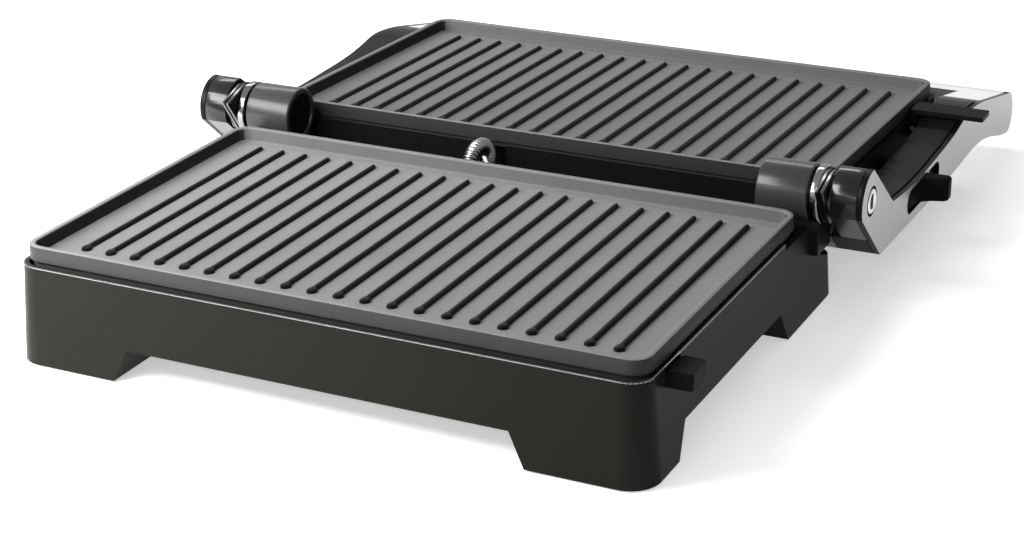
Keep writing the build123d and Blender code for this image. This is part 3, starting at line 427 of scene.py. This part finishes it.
def heated_steel(name, colour):
    """A sheathed element's dull oxide, browner in patches."""
    s = Shader(name)
    oxide = s.noise(0.008, detail=4)
    brown = (colour[0] * 1.3, colour[1] * 0.95, colour[2] * 0.7)
    return s.principled(
        Base_Color=s.mixed(oxide, colour, brown),
        Metallic=0.8,
        Roughness=oxide * 0.2 + 0.4,
        Normal=s.bump(s.noise(0.0006), 0.00003, 0.5),
    )


def white_ceramic(name, colour):
    """Unglazed ceramic with grains and stains."""
    s = Shader(name)
    stain = s.noise(0.01, detail=4)
    return s.principled(
        Base_Color=s.mixed(stain, colour, shade(colour, 0.85)),
        Roughness=stain * 0.2 + 0.5,
        Normal=s.bump(s.noise(0.0004), 0.00003, 0.5),
    )


def foot_rubber(name, colour):
    """Matt rubber with a dusty bloom."""
    s = Shader(name)
    bloom = s.noise(0.004, detail=4)
    return s.principled(
        Base_Color=s.mixed(bloom, colour, shade(colour, 1.9)),
        Roughness=bloom * 0.12 + 0.7,
        Normal=s.bump(s.noise(0.0005), 0.00006, 0.6),
    )


# Each coating's share of the plates' colour, its relief in metres and its gloss; all but the floor's
# are darker copies of the one coating, painted shade on the plates
COATINGS = {
    "floor_coating": (1.0, 0.00012, 0.07),
    # Near black on the ridges: painted shade standing for their unlit sides
    "ridge_coating": (0.02, 0.00005, 0.08),
    # Darker on the lower plate's outer skirt: painted shade
    "rim_coating": (0.26, 0.00012, 0.07),
    # Darker on the rim's inner walls at front and rear: painted shade
    "wall_coating": (0.6, 0.00012, 0.07),
    # Darkest on the rim's side walls and the upper plate's skirt: painted shade
    "side_coating": (0.14, 0.00012, 0.02),
}
FLOOR, RIDGE, RIM, WALL, SIDE = range(len(COATINGS))

# Each plastic's colour setting and its share of it, its roughness and its gloss
PLASTICS = {
    "housing_black": ("housing", 1.0, 0.34, 0.035),
    # The housing's black at a third on the lid: painted shade where it lies between the open plates
    "lid_black": ("housing", 0.35, 0.4, 0.02),
    "barrel_grey": ("barrel", 1.0, 0.27, 0.22),
    "release_black": ("release", 1.0, 0.3, 0.012),
    "arm_black": ("arm", 1.0, 0.36, 0.03),
    "lug_black": ("arm", 0.5, 0.2, 0.3),
    "thumb_black": ("release", 0.8, 0.4, 0.0075),
    # Near black in the screw slots and the levers' grooves and recesses: painted shade
    "slot_black": ("release", 0.3, 0.5, 0.1),
}

# Each plain metal's colour setting and its share of it, and its roughness
METALS = {
    # Bright metal on the black base's top edge: painted highlight
    "lip_bright": ("chrome", 1.2, 0.25),
    # The levers' darker chrome: painted dark reflection, grey bars where bright chrome would show
    # white
    "lever_dark": ("chrome", 0.5, 0.2),
    "bright_steel": ("steel", 1.0, 0.26),
    "ribbed_steel": ("steel", 0.3, 0.3),
}

# Finishes of hidden pieces and feet, with their colours
INNER = (
    (heated_steel, "heated_steel", (0.16, 0.15, 0.14)),
    (spangled_sheet, "spangled_sheet", (0.6, 0.61, 0.62)),
    (white_ceramic, "white_ceramic", (0.75, 0.73, 0.68)),
    (foot_rubber, "foot_rubber", (0.012, 0.012, 0.012)),
)

# The share of the arms' black that is painted on silver pieces, and how far the paint reaches
# over the handle bar's ends
PAINT_SHARE = 0.5
PAINTED_END = 12.0


def both(*names):
    """The left and right nodes of each name."""
    return tuple(f"{name}_{side}" for name in names for _, side in SIDES)


# Which finish each CAD node wears that no piece replaces
WEARS = {
    "lid_black": ("lid_housing",),
    "housing_black": (
        "base_shell",
        "lid_cover",
        "base_bottom_cover",
        "cord_inlet_bush",
        *both("hinge_bracket"),
    ),
    "barrel_grey": both("hinge_barrel"),
    "release_black": (
        "lower_release_lever",
        "upper_release_paddle",
        "release_spring_seat",
        *both("barrel_end_cap", "lid_pivot_pin"),
    ),
    "arm_black": both("arm_body"),
    "lug_black": both("arm_lug"),
    "arm_silver": both("arm_outer_plate"),
    "handle_silver": ("handle_bar",),
    "chrome_plate": both("hub_collar"),
    "bright_steel": (
        "paddle_pin",
        "slider_spring",
        "upper_release_spring",
        "lower_release_spring",
        "base_cover_screws",
        "lid_cover_screws",
        "conduit_base_ferrule",
        "conduit_lid_ferrule",
        "upper_plate_clips",
        "lower_plate_clips",
        *both("hinge_washer"),
    ),
    "heated_steel": ("lower_heating_element", "upper_heating_element"),
    "spangled_sheet": (
        "lower_reflector",
        "upper_reflector",
        "lower_element_clips",
        "upper_element_clips",
    ),
    "white_ceramic": (
        "lower_thermostat",
        "upper_thermostat",
        "thermal_fuse",
        "terminal_block",
    ),
    "foot_rubber": ("foot_pads",),
}

# CAD nodes whose edges are rounded, by the radius in millimetres
ROUNDED = {
    0.3: both("hub_collar"),
    0.4: both("hinge_bracket", "hinge_barrel"),
    0.5: (
        "lid_housing",
        "lid_cover",
        "lower_release_lever",
        *both("arm_lug", "arm_body", "arm_outer_plate"),
    ),
    0.8: ("handle_bar",),
}


# Settings


def colour_setting(name, description, *colour):
    """A colour setting."""
    return bpy.props.FloatVectorProperty(
        name=name, description=description, subtype="COLOR", default=colour
    )


def length_setting(name, description, default, least=0.0):
    """A setting in millimetres."""
    return bpy.props.FloatProperty(
        name=name, description=description, default=default, min=least
    )


class FinishSettings(bpy.types.PropertyGroup):
    """Colours of the finishes."""

    coating: colour_setting("Coating", "Colour of the plates' non-stick coating", 0.112, 0.112, 0.11)
    housing: colour_setting("Housing", "Colour of the satin black housings", 0.0095, 0.0095, 0.0081)
    barrel: colour_setting("Barrel", "Colour of the hinge barrels", 0.022, 0.022, 0.022)
    arm: colour_setting("Arm body", "Colour of the black arm bodies", 0.008, 0.008, 0.008)
    release: colour_setting("Releases", "Colour of the levers, paddle and slider", 0.006, 0.006, 0.006)
    silver: colour_setting("Silver", "Colour of the arms' outer plates", 0.33, 0.33, 0.334)
    handle: colour_setting("Handle", "Colour of the handle bar", 0.80, 0.80, 0.81)
    # Far darker than bright chrome, so that the collars and levers reflect as if their surroundings
    # were dark: painted dark reflection
    chrome: colour_setting("Chrome", "Colour of the hub collars", 0.20, 0.20, 0.205)
    steel: colour_setting("Steel", "Colour of screws, pins and springs", 0.66, 0.66, 0.66)


class PlateSettings(bpy.types.PropertyGroup):
    """Forms of the two grill plates, in millimetres."""

    rim_width: length_setting("Rim width", "Width of the rim round a plate", 3.0, 1.0)
    rim_round: length_setting("Rim rounding", "Radius of the rim's edges", 0.7, 0.1)
    floor_drop: length_setting("Floor drop", "Depth of the floor below the rim", 6.7, 1.0)
    ridge_count: bpy.props.IntProperty(
        name="Ridges", description="Number of ridges on a plate", default=21, min=2
    )
    ridge_pitch: length_setting("Ridge pitch", "Distance between two ridges", 13.0, 5.0)
    ridge_length: length_setting("Ridge length", "Length of a ridge with its ends", 151.0)
    ridge_height: length_setting("Ridge height", "Height of a ridge above the floor", 1.9)
    bead_radius: length_setting("Bead radius", "Radius of the bead on a ridge's end", 2.5)
    ridge_half: length_setting("Ridge half width", "Half width of a ridge at its foot", 1.35)


class StageSettings(bpy.types.PropertyGroup):
    """Floor, light and camera."""

    lens: bpy.props.FloatProperty(
        name="Lens",
        description="Focal length of the camera in millimetres",
        unit="CAMERA",
        default=77.96,
    )
    key_power: bpy.props.FloatProperty(
        name="Key power",
        description="Power of which each lamp gives its share",
        unit="POWER",
        default=40.0,
    )
    floor_tone: colour_setting("Floor", "Colour of the floor and backdrop", 0.86, 0.86, 0.86)


SETTINGS = {
    "grill_finishes": FinishSettings,
    "grill_plates": PlateSettings,
    "grill_stage": StageSettings,
}


class GRILL_OT_finishes(bpy.types.Operator):
    """Give every CAD node its finish"""

    bl_idname = "grill.finishes"
    bl_label = "Finishes"

    def execute(self, context):
        f = context.scene.grill_finishes
        paint = shade(f.arm, PAINT_SHARE)
        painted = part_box("handle_bar")[0].y + PAINTED_END * MM
        made = {
            "arm_silver": faced_silver("arm_silver", f.silver, paint),
            "handle_silver": painted_metal("handle_silver", f.handle, paint, painted),
            "chrome_plate": chrome_plate("chrome_plate", f.chrome),
        }
        for name, (share, *looks) in COATINGS.items():
            made[name] = nonstick_coating(name, shade(f.coating, share), *looks)
        for make, table in ((satin_plastic, PLASTICS), (satin_metal, METALS)):
            for name, (colour, share, *looks) in table.items():
                made[name] = make(name, shade(getattr(f, colour), share), *looks)
        for make, name, colour in INNER:
            made[name] = make(name, colour)
        for finish, nodes in WEARS.items():
            for node in nodes:
                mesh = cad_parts[node].data
                mesh.materials.clear()
                mesh.materials.append(made[finish])
        for radius, nodes in ROUNDED.items():
            for node in nodes:
                round_edges(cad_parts[node], radius)
        return {"FINISHED"}


# How far the skirt under a plate's rim lies in, how high it is, and the bevel above it
SKIRT_INSET = 1.6
SKIRT_HEIGHT = 2.9
SKIRT_BEVEL = 0.3
# The rim's inner wall ends in a cove: how far in, and how high above the floor
COVE = ((0.3, 1.5), (0.7, 0.5), (1.7, 0.0))
LEAST_CORNER = 1.0
OUTER_ROWS = range(0, 5)
WALL_ROWS = range(9, 11)
# Distance from a plate's near edge to its ridges
LOWER_MARGIN = 18.5
UPPER_MARGIN = 16.6
BEAD_STEPS = 8
END_STEPS = 5
RIDGE_STEPS = 10
RIDGE_TIP = 0.05
RIDGE_ROOT = 0.3
RIDGE_BLUNT = 0.75


class GRILL_OT_plates(bpy.types.Operator):
    """Make both grill plates with their rims and ridges"""

    bl_idname = "grill.plates"
    bl_label = "Grill Plates"

    def execute(self, context):
        p = context.scene.grill_plates
        near = HINGE.y / MM - (PLATE_LOW.y / MM + PLATE_DEPTH)
        self.plate(p, "lower", LEVEL, 0.0, LOWER_TOP, LOWER_MARGIN)
        self.plate(p, "upper", OPEN_LID, near, UPPER_TOP, UPPER_MARGIN)
        return {"FINISHED"}

    def plate(self, p, name, place, near, top, margin):
        """One plate from `near` to its far edge, its ridges starting `margin` behind `near`."""
        bm = bmesh.new()
        middle = (0, near + PLATE_DEPTH / 2)
        floor = top - p.floor_drop
        outlines = []
        for inset, height in self.profile(p, top, floor):
            corner = max(PLATE_CORNER - inset, LEAST_CORNER)
            width = PLATE_WIDTH - 2 * inset
            depth = PLATE_DEPTH - 2 * inset
            outlines.append(rounded_box(width, depth, corner, height, middle))
        around = len(outlines[0])
        for number, face in enumerate(skin(bm, outlines, place)):
            row, point = divmod(number, around)
            quarter = (point - CORNER_STEPS // 2) // (CORNER_STEPS + 1)
            # The outer skirt wears a darker copy of the coating, painted shade; on the upper plate it
            # is the darkest copy
            if row in OUTER_ROWS:
                face.material_index = SIDE if name == "upper" else RIM
            # The rim's inner walls wear darker copies of the coating, painted shade: darker at front
            # and rear, darkest at the sides
            elif row in WALL_ROWS:
                face.material_index = WALL if quarter % 2 else SIDE
        for number in range(p.ridge_count):
            x = (number - (p.ridge_count - 1) / 2) * p.ridge_pitch
            self.ridge(p, bm, place, x, near + margin, floor)
        piece(
            f"grill_plate_{name}",
            bm,
            f"{name}_plate",
            tuple(COATINGS),
            (f"{name}_plate",),
        )

    def profile(self, p, top, floor):
        """Insets and heights from the skirt's foot over the rim to the floor."""
        skirt = top - RIM_HEIGHT + SKIRT_HEIGHT
        inner = p.rim_width
        r = p.rim_round
        ease = r * 0.3
        return [
            (SKIRT_INSET, top - RIM_HEIGHT),
            (SKIRT_INSET, skirt),
            (SKIRT_BEVEL, skirt),
            (0.0, skirt + SKIRT_BEVEL),
            (0.0, top - r),
            (ease, top - ease),
            (r, top),
            (inner - r, top),
            (inner - ease, top - ease),
            (inner, top - r),
            *((inner + inward, floor + up) for inward, up in COVE),
        ]

    def ridge(self, p, bm, place, x, start, floor):
        """A straight ridge with a rounded top, a bead on its near end and a round far end."""
        bead = p.bead_radius
        half = p.ridge_half
        straight = p.ridge_length - 2 * half
        stations = []
        for step in range(BEAD_STEPS + 1):
            angle = math.pi * step / BEAD_STEPS
            width = bead * math.sin(angle)
            if angle > math.pi / 2:
                width = max(width, half)
            stations.append((bead * (1 - math.cos(angle)), width))
        stations.append((straight, half))
        for width, along in arc(half, 0, 90, END_STEPS)[1:]:
            stations.append((straight + 2 * along, width))
        outlines = []
        for reach, width in stations:
            width = max(width, RIDGE_TIP)
            height = RIDGE_ROOT + p.ridge_height * min(1.0, math.sqrt(width / half))
            outline = []
            for across, up in arc(1.0, 0, 180, RIDGE_STEPS):
                z = floor - RIDGE_ROOT + height * abs(up) ** RIDGE_BLUNT
                outline.append((x + width * across, start + reach, z))
            outlines.append(outline)
        # The ridge wears the near-black coating, painted shade of its unlit sides
        skin(bm, outlines, place, RIDGE)


# The lip runs round the base's top edge, past the plate's sides and front; its bright metal is a
# painted highlight
LIP_PAST_SIDE = 1.7
LIP_FRONT = -3.7
LIP_BEFORE_REAR = 22.6
LIP_CORNER = 10.5
LIP_RADIUS = 0.5
LIP_SUNK = 0.42


class GRILL_OT_base(bpy.types.Operator):
    """Make the rounded lip along the base's top edge, in bright metal that paints its highlight"""

    bl_idname = "grill.base"
    bl_label = "Base Lip"

    def execute(self, context):
        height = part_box("base_shell")[1].z / MM - LIP_SUNK
        half = PLATE_WIDTH / 2 + LIP_PAST_SIDE
        rear = PLATE_DEPTH - LIP_BEFORE_REAR
        path = [(-half, rear, -1.0, 0.0)]
        for turn, sx in ((180, -1), (270, 1)):
            for out_x, out_y in arc(1.0, turn, 90, 8):
                x = sx * (half - LIP_CORNER) + LIP_CORNER * out_x
                y = LIP_FRONT + LIP_CORNER + LIP_CORNER * out_y
                path.append((x, y, out_x, out_y))
        path.append((half, rear, 1.0, 0.0))
        outlines = []
        for x, y, out_x, out_y in path:
            outline = []
            for reach, up in circle(LIP_RADIUS, 12):
                reach -= LIP_SUNK
                outline.append((x + out_x * reach, y + out_y * reach, height + up))
            outlines.append(outline)
        bm = bmesh.new()
        skin(bm, outlines, LEVEL)
        piece("base_lip", bm, "base", ("lip_bright",))
        return {"FINISHED"}


# A latch lever from its inner face outward: how far out, and how far its outline is drawn in
LEVER_LAYERS = (
    (0.0, 0.6),
    (0.5, 0.0),
    (1.7, 0.0),
    (1.9, 1.0),
    (2.6, 1.0),
    (2.8, 0.0),
    (4.0, 0.0),
    (4.5, 0.5),
    (4.5, 2.0),
    (3.5, 2.3),
)
LEVER_GROOVE = range(2, 5)
LEVER_FACE = 8
# Its outline in Y and Z from the hinge: the nose, the round hub and the heel under it
LEVER_NOSE = ((-20.0, 7.2), (-20.1, 8.1), (-19.4, 8.5), (-4.8, 13.3))
LEVER_HUB = 13.0
LEVER_HEEL = (-8.1, -9.6)
LEVER_MIDDLE = (-2.0, 1.0)
LEVER_SPREAD = 11.0


class GRILL_OT_levers(bpy.types.Operator):
    """Make the latch levers with their grooved rims and recessed faces"""

    bl_idname = "grill.levers"
    bl_label = "Latch Levers"

    def execute(self, context):
        for hand, name in SIDES:
            inner = from_middle(*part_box(f"latch_lever_{name}"))[0]
            outlines = [
                [(hand * (inner + out), y, z) for y, z in self.outline(inset)]
                for out, inset in LEVER_LAYERS
            ]
            bm = bmesh.new()
            around = len(outlines[0])
            hub = range(len(LEVER_NOSE), around - 2)
            for number, face in enumerate(skin(bm, outlines, AT_HINGE)):
                layer, point = divmod(number, around)
                # The grooves, the recessed face and the sides round the hub wear painted shade
                if layer >= LEVER_FACE or layer in LEVER_GROOVE or point in hub:
                    face.material_index = 1
            piece(
                f"latch_frame_{name}",
                bm,
                f"latch_{name}",
                ("lever_dark", "slot_black"),
                (f"latch_lever_{name}",),
            )
        return {"FINISHED"}

    def outline(self, inset):
        """The lever's outline, a hub with a nose, drawn in by `inset`."""
        scale = 1 - inset / LEVER_SPREAD
        points = [*LEVER_NOSE, *arc(LEVER_HUB, 95, -210, 24), LEVER_HEEL]
        y0, z0 = LEVER_MIDDLE
        return [(y0 + (y - y0) * scale, z0 + (z - z0) * scale) for y, z in points]


# The slider's plate, from its foot to its face, and the tab's place, rounding and scoop; the
# tab's heel is given as how far in from its tip, and how far back from its front
SLIDER_PLATE = 5.5
SLIDER_EASE = 0.6
TAB_BEFORE_END = 2.0
TAB_ROUND = 2.0
TAB_RISE = 0.4
TAB_HEEL = ((0.1, 6.0), (1.6, 7.6))
SCOOP_FROM = 7.8
SCOOP_LENGTH = 9.0
SCOOP_STEPS = 8
SCOOP_BEND = 2.4
SCOOP_TOP = 3.0
# Its rounding at top and bottom: how far from the end, and how far the outline is drawn in
SLIDER_LAYERS = ((0.0, 1.3), (0.25, 0.6), (0.9, 0.15), (1.8, 0.0))


class GRILL_OT_slider(bpy.types.Operator):
    """Make the hinge release slider with its scooped thumb tab"""

    bl_idname = "grill.slider"
    bl_label = "Release Slider"

    def execute(self, context):
        low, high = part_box("hinge_release_slider")
        low = (low - HINGE) / MM
        high = (high - HINGE) / MM
        layers = [(low.z + up, inset) for up, inset in SLIDER_LAYERS]
        layers += [(high.z - down, inset) for down, inset in reversed(SLIDER_LAYERS)]
        outlines = [
            [(x, y, height) for x, y in self.outline(low, high, inset)] for height, inset in layers
        ]
        bm = bmesh.new()
        skin(bm, outlines, AT_HINGE)
        piece(
            "release_thumb",
            bm,
            "hinge_release",
            ("thumb_black",),
            ("hinge_release_slider",),
        )
        return {"FINISHED"}

    def outline(self, low, high, inset):
        """The slider seen from above, from its foot round the tab and back, drawn in by `inset`."""
        foot = low.x
        face = foot + SLIDER_PLATE
        start = low.y + inset
        end = high.y - inset
        tip = high.x - inset
        tab_front = high.y - TAB_BEFORE_END - inset
        tab_back = high.y - TAB_BEFORE_END + inset
        points = [
            (foot, start + 2),
            (foot, end),
            (face - SLIDER_EASE, end),
            (face - inset * 0.5, end - SLIDER_EASE),
            (face + 0.5, tab_front),
        ]
        for x, y in arc(TAB_ROUND, 90, -90, 4):
            points.append((tip - TAB_ROUND + x, tab_front + TAB_RISE - TAB_ROUND + y))
        for inward, back in TAB_HEEL:
            points.append((tip - inward, tab_back - back))
        for step in range(1, SCOOP_STEPS + 1):
            share = step / SCOOP_STEPS
            out = (tip - SCOOP_TOP - face) * (1 - share) ** SCOOP_BEND
            points.append((face + out, tab_back - SCOOP_FROM - SCOOP_LENGTH * share))
        points.append((face - 0.3 - inset * 0.5, start + 3))
        points.append((face - 1.4, start + 0.8))
        points.append((foot + 1, start))
        return points


# A hinge screw's shank, the height of its head, and the head's dome from the crown's edge
# inward: how far in, and how far out
SHANK = 5.0
HEAD = 1.6
DOME = ((0.0, -0.5), (0.4, -0.12), (1.0, 0.0), (1.7, -0.1), (2.2, -0.4))
# The slot is a dark block of painted shade that ends just under the dome: how much it narrows, and how
# far out
SLOT_LAYERS = ((0.0, -0.9), (0.0, -0.22), (-0.2, -0.18))
SLOT_WIDTH = 2.5
SLOT_LENGTH = 7.6
SLOT_CORNER = 1.1


class GRILL_OT_screws(bpy.types.Operator):
    """Make the hinge screws with their domed heads and slots"""

    bl_idname = "grill.screws"
    bl_label = "Hinge Screws"

    def execute(self, context):
        for hand, name in SIDES:
            low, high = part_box(f"hinge_screw_{name}")
            inner, outer = from_middle(low, high)
            crown = (high.z - low.z) / MM / 2
            rings = [(SHANK, inner - outer), (SHANK, -HEAD), (crown, -HEAD)]
            rings += [(crown - inward, out) for inward, out in DOME]
            bm = bmesh.new()
            outlines = [
                [(hand * (outer + out), y, z) for y, z in circle(radius, 40)]
                for radius, out in rings
            ]
            skin(bm, outlines, AT_HINGE)
            outlines = []
            for grow, out in SLOT_LAYERS:
                outline = rounded_box(SLOT_WIDTH + grow, SLOT_LENGTH + grow, SLOT_CORNER, 0)
                outlines.append([(hand * (outer + out), y, z) for y, z, _ in outline])
            skin(bm, outlines, AT_HINGE, material=1)
            piece(
                f"slotted_screw_{name}",
                bm,
                "base",
                ("bright_steel", "slot_black"),
                (f"hinge_screw_{name}",),
            )
        return {"FINISHED"}


RIBS = 31
RIB_STEPS = 6
RIB_DEPTH = 0.95
RIB_BLUNT = 0.7
HOSE_POINTS = 20
# How much higher the lid's end is than the base's
LID_END = 4.6


class GRILL_OT_hose(bpy.types.Operator):
    """Make the ribbed hose that arches over the hinge line from the base to the lid"""

    bl_idname = "grill.hose"
    bl_label = "Ribbed Hose"

    def execute(self, context):
        low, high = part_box("conduit")
        low = (low - HINGE) / MM
        high = (high - HINGE) / MM
        x = (low.x + high.x) / 2
        outer = (high.x - low.x) / 2
        radius = (high.y - low.y - 2 * outer) / 2
        near = low.y + outer
        far = near + 2 * radius
        foot = low.z
        arch = high.z - outer - radius
        end = foot + LID_END
        rise = arch - foot
        bend = math.pi * radius
        total = rise + bend + arch - end
        outlines = []
        for step in range(RIBS * RIB_STEPS + 1):
            distance = total * step / (RIBS * RIB_STEPS)
            swell = 0.5 - 0.5 * math.cos(math.tau * step / RIB_STEPS)
            tube = outer - RIB_DEPTH + RIB_DEPTH * swell**RIB_BLUNT
            if distance <= rise:
                y, z, turn = near, foot + distance, 0.0
            elif distance <= rise + bend:
                turn = (distance - rise) / radius
                y = near + radius * (1 - math.cos(turn))
                z = arch + radius * math.sin(turn)
            else:
                y, z, turn = far, arch - (distance - rise - bend), math.pi
            outline = []
            for across, along in circle(tube, HOSE_POINTS):
                back = along * math.cos(turn)
                outline.append((x + across, y - back, z + along * math.sin(turn)))
            outlines.append(outline)
        bm = bmesh.new()
        skin(bm, outlines, AT_HINGE)
        hose = solid("ribbed_hose", bm, ("ribbed_steel",))
        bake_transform(hose)
        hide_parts("conduit")
        return {"FINISHED"}


FLOOR_REACH = 6.0
FLOOR_GLOW = 0.47
SKY_TONE = (0.8, 0.8, 0.8)
SKY_ON_PART = 0.48
SKY_SEEN = 1.0
# Each lamp's place and aim in metres, its width and height, and its share of the key power
LAMPS = {
    "key": ((-0.75, 1.1, 1.25), (-0.6, 0.05, 0), (1.6, 0.2), 0.3),
    "side": ((-0.46, -0.42, 0.36), (-0.46, -0.12, 0), (0.75, 0.3), 0.4),
    "front": ((0.1, -1.3, 0.62), (0.1, 0.18, 0.06), (1.4, 0.12), 0.1),
}
# The camera's place in metres, its turns in radians and its sensor in millimetres
CAMERA_PLACE = (0.441912, -0.956793, 0.418769)
CAMERA_TURN = 0.456
CAMERA_DOWN = 0.394
CAMERA_ROLL = -0.011
SENSOR = 36.0


class GRILL_OT_stage(bpy.types.Operator):
    """Make the floor, the light and the camera"""

    bl_idname = "grill.stage"
    bl_label = "Stage"

    def execute(self, context):
        scene = context.scene
        settings = scene.grill_stage
        scene.view_settings.view_transform = "Standard"
        self.floor(scene, settings.floor_tone)
        self.world(scene)
        for name, (place, target, size, share) in LAMPS.items():
            self.lamp(scene, name, place, target, size, settings.key_power * share)
        self.camera(scene, settings.lens)
        return {"FINISHED"}

    def floor(self, scene, colour):
        """A pale floor that keeps shadows and glows a little where it is seen."""
        mesh = bpy.data.meshes.new("floor")
        square = ((-1, -1), (1, -1), (1, 1), (-1, 1))
        corners = [(FLOOR_REACH * x, FLOOR_REACH * y, 0) for x, y in square]
        mesh.from_pydata(corners, [], [(0, 1, 2, 3)])
        floor = bpy.data.objects.new("floor", mesh)
        scene.collection.objects.link(floor)
        s = Shader("pale_floor")
        plain = s.node("ShaderNodeBsdfDiffuse", Color=colour)
        glow = s.node("ShaderNodeEmission", Color=(1, 1, 1), Strength=s.seen_rays() * FLOOR_GLOW)
        glowing = s.node("ShaderNodeAddShader")
        s.feed(glowing, "0", plain.outputs[0])
        s.feed(glowing, "1", glow.outputs[0])
        mesh.materials.append(s.output("ShaderNodeOutputMaterial", glowing))

    def world(self, scene):
        """Even light from all round, brighter where the background is seen."""
        s = Shader("studio", "worlds")
        strength = s.node(
            "ShaderNodeMapRange", Value=s.seen_rays(), To_Min=SKY_ON_PART, To_Max=SKY_SEEN
        )
        sky = s.node("ShaderNodeBackground", Color=SKY_TONE, Strength=strength.outputs[0])
        scene.world = s.output("ShaderNodeOutputWorld", sky)

    def lamp(self, scene, name, place, target, size, power):
        """A rectangular lamp that is aimed at a point."""
        data = bpy.data.lights.new(name, "AREA")
        data.shape = "RECTANGLE"
        data.size = size[0]
        data.size_y = size[1]
        data.energy = power
        lamp = bpy.data.objects.new(name, data)
        lamp.location = place
        aim = Vector(target) - Vector(place)
        lamp.rotation_euler = aim.to_track_quat("-Z", "Y").to_euler()
        scene.collection.objects.link(lamp)

    def camera(self, scene, lens):
        """The camera that was fitted to the photograph."""
        data = bpy.data.cameras.new("camera")
        data.sensor_width = SENSOR
        data.lens = lens
        camera = bpy.data.objects.new("camera", data)
        place = Matrix.Translation(CAMERA_PLACE)
        turn = Matrix.Rotation(CAMERA_TURN, 4, "Z")
        tilt = Matrix.Rotation(math.pi / 2 - CAMERA_DOWN, 4, "X")
        roll = Matrix.Rotation(CAMERA_ROLL, 4, "Z")
        camera.matrix_world = place @ turn @ tilt @ roll
        scene.collection.objects.link(camera)
        scene.camera = camera


STEPS = (
    GRILL_OT_finishes,
    GRILL_OT_plates,
    GRILL_OT_base,
    GRILL_OT_levers,
    GRILL_OT_slider,
    GRILL_OT_screws,
    GRILL_OT_hose,
    GRILL_OT_stage,
)


class GRILL_PT_panel(bpy.types.Panel):
    """Steps and settings of the grill's looks"""

    bl_idname = "GRILL_PT_panel"
    bl_label = "Contact Grill"
    bl_space_type = "VIEW_3D"
    bl_region_type = "UI"
    bl_category = "Grill"

    def draw(self, context):
        for name in SETTINGS:
            settings = getattr(context.scene, name)
            box = self.layout.box()
            for key in settings.__annotations__:
                box.prop(settings, key)
        for step in STEPS:
            self.layout.operator(step.bl_idname)


CLASSES = (*SETTINGS.values(), *STEPS, GRILL_PT_panel)


def register():
    for cls in CLASSES:
        bpy.utils.register_class(cls)
    for name, group in SETTINGS.items():
        setattr(bpy.types.Scene, name, bpy.props.PointerProperty(type=group))


def unregister():
    for name in SETTINGS:
        delattr(bpy.types.Scene, name)
    for cls in reversed(CLASSES):
        bpy.utils.unregister_class(cls)


def main():
    register()
    bpy.ops.grill.finishes()
    bpy.ops.grill.plates()
    bpy.ops.grill.base()
    bpy.ops.grill.levers()
    bpy.ops.grill.slider()
    bpy.ops.grill.screws()
    bpy.ops.grill.hose()
    bpy.ops.grill.stage()


if __name__ == "__main__":
    main()
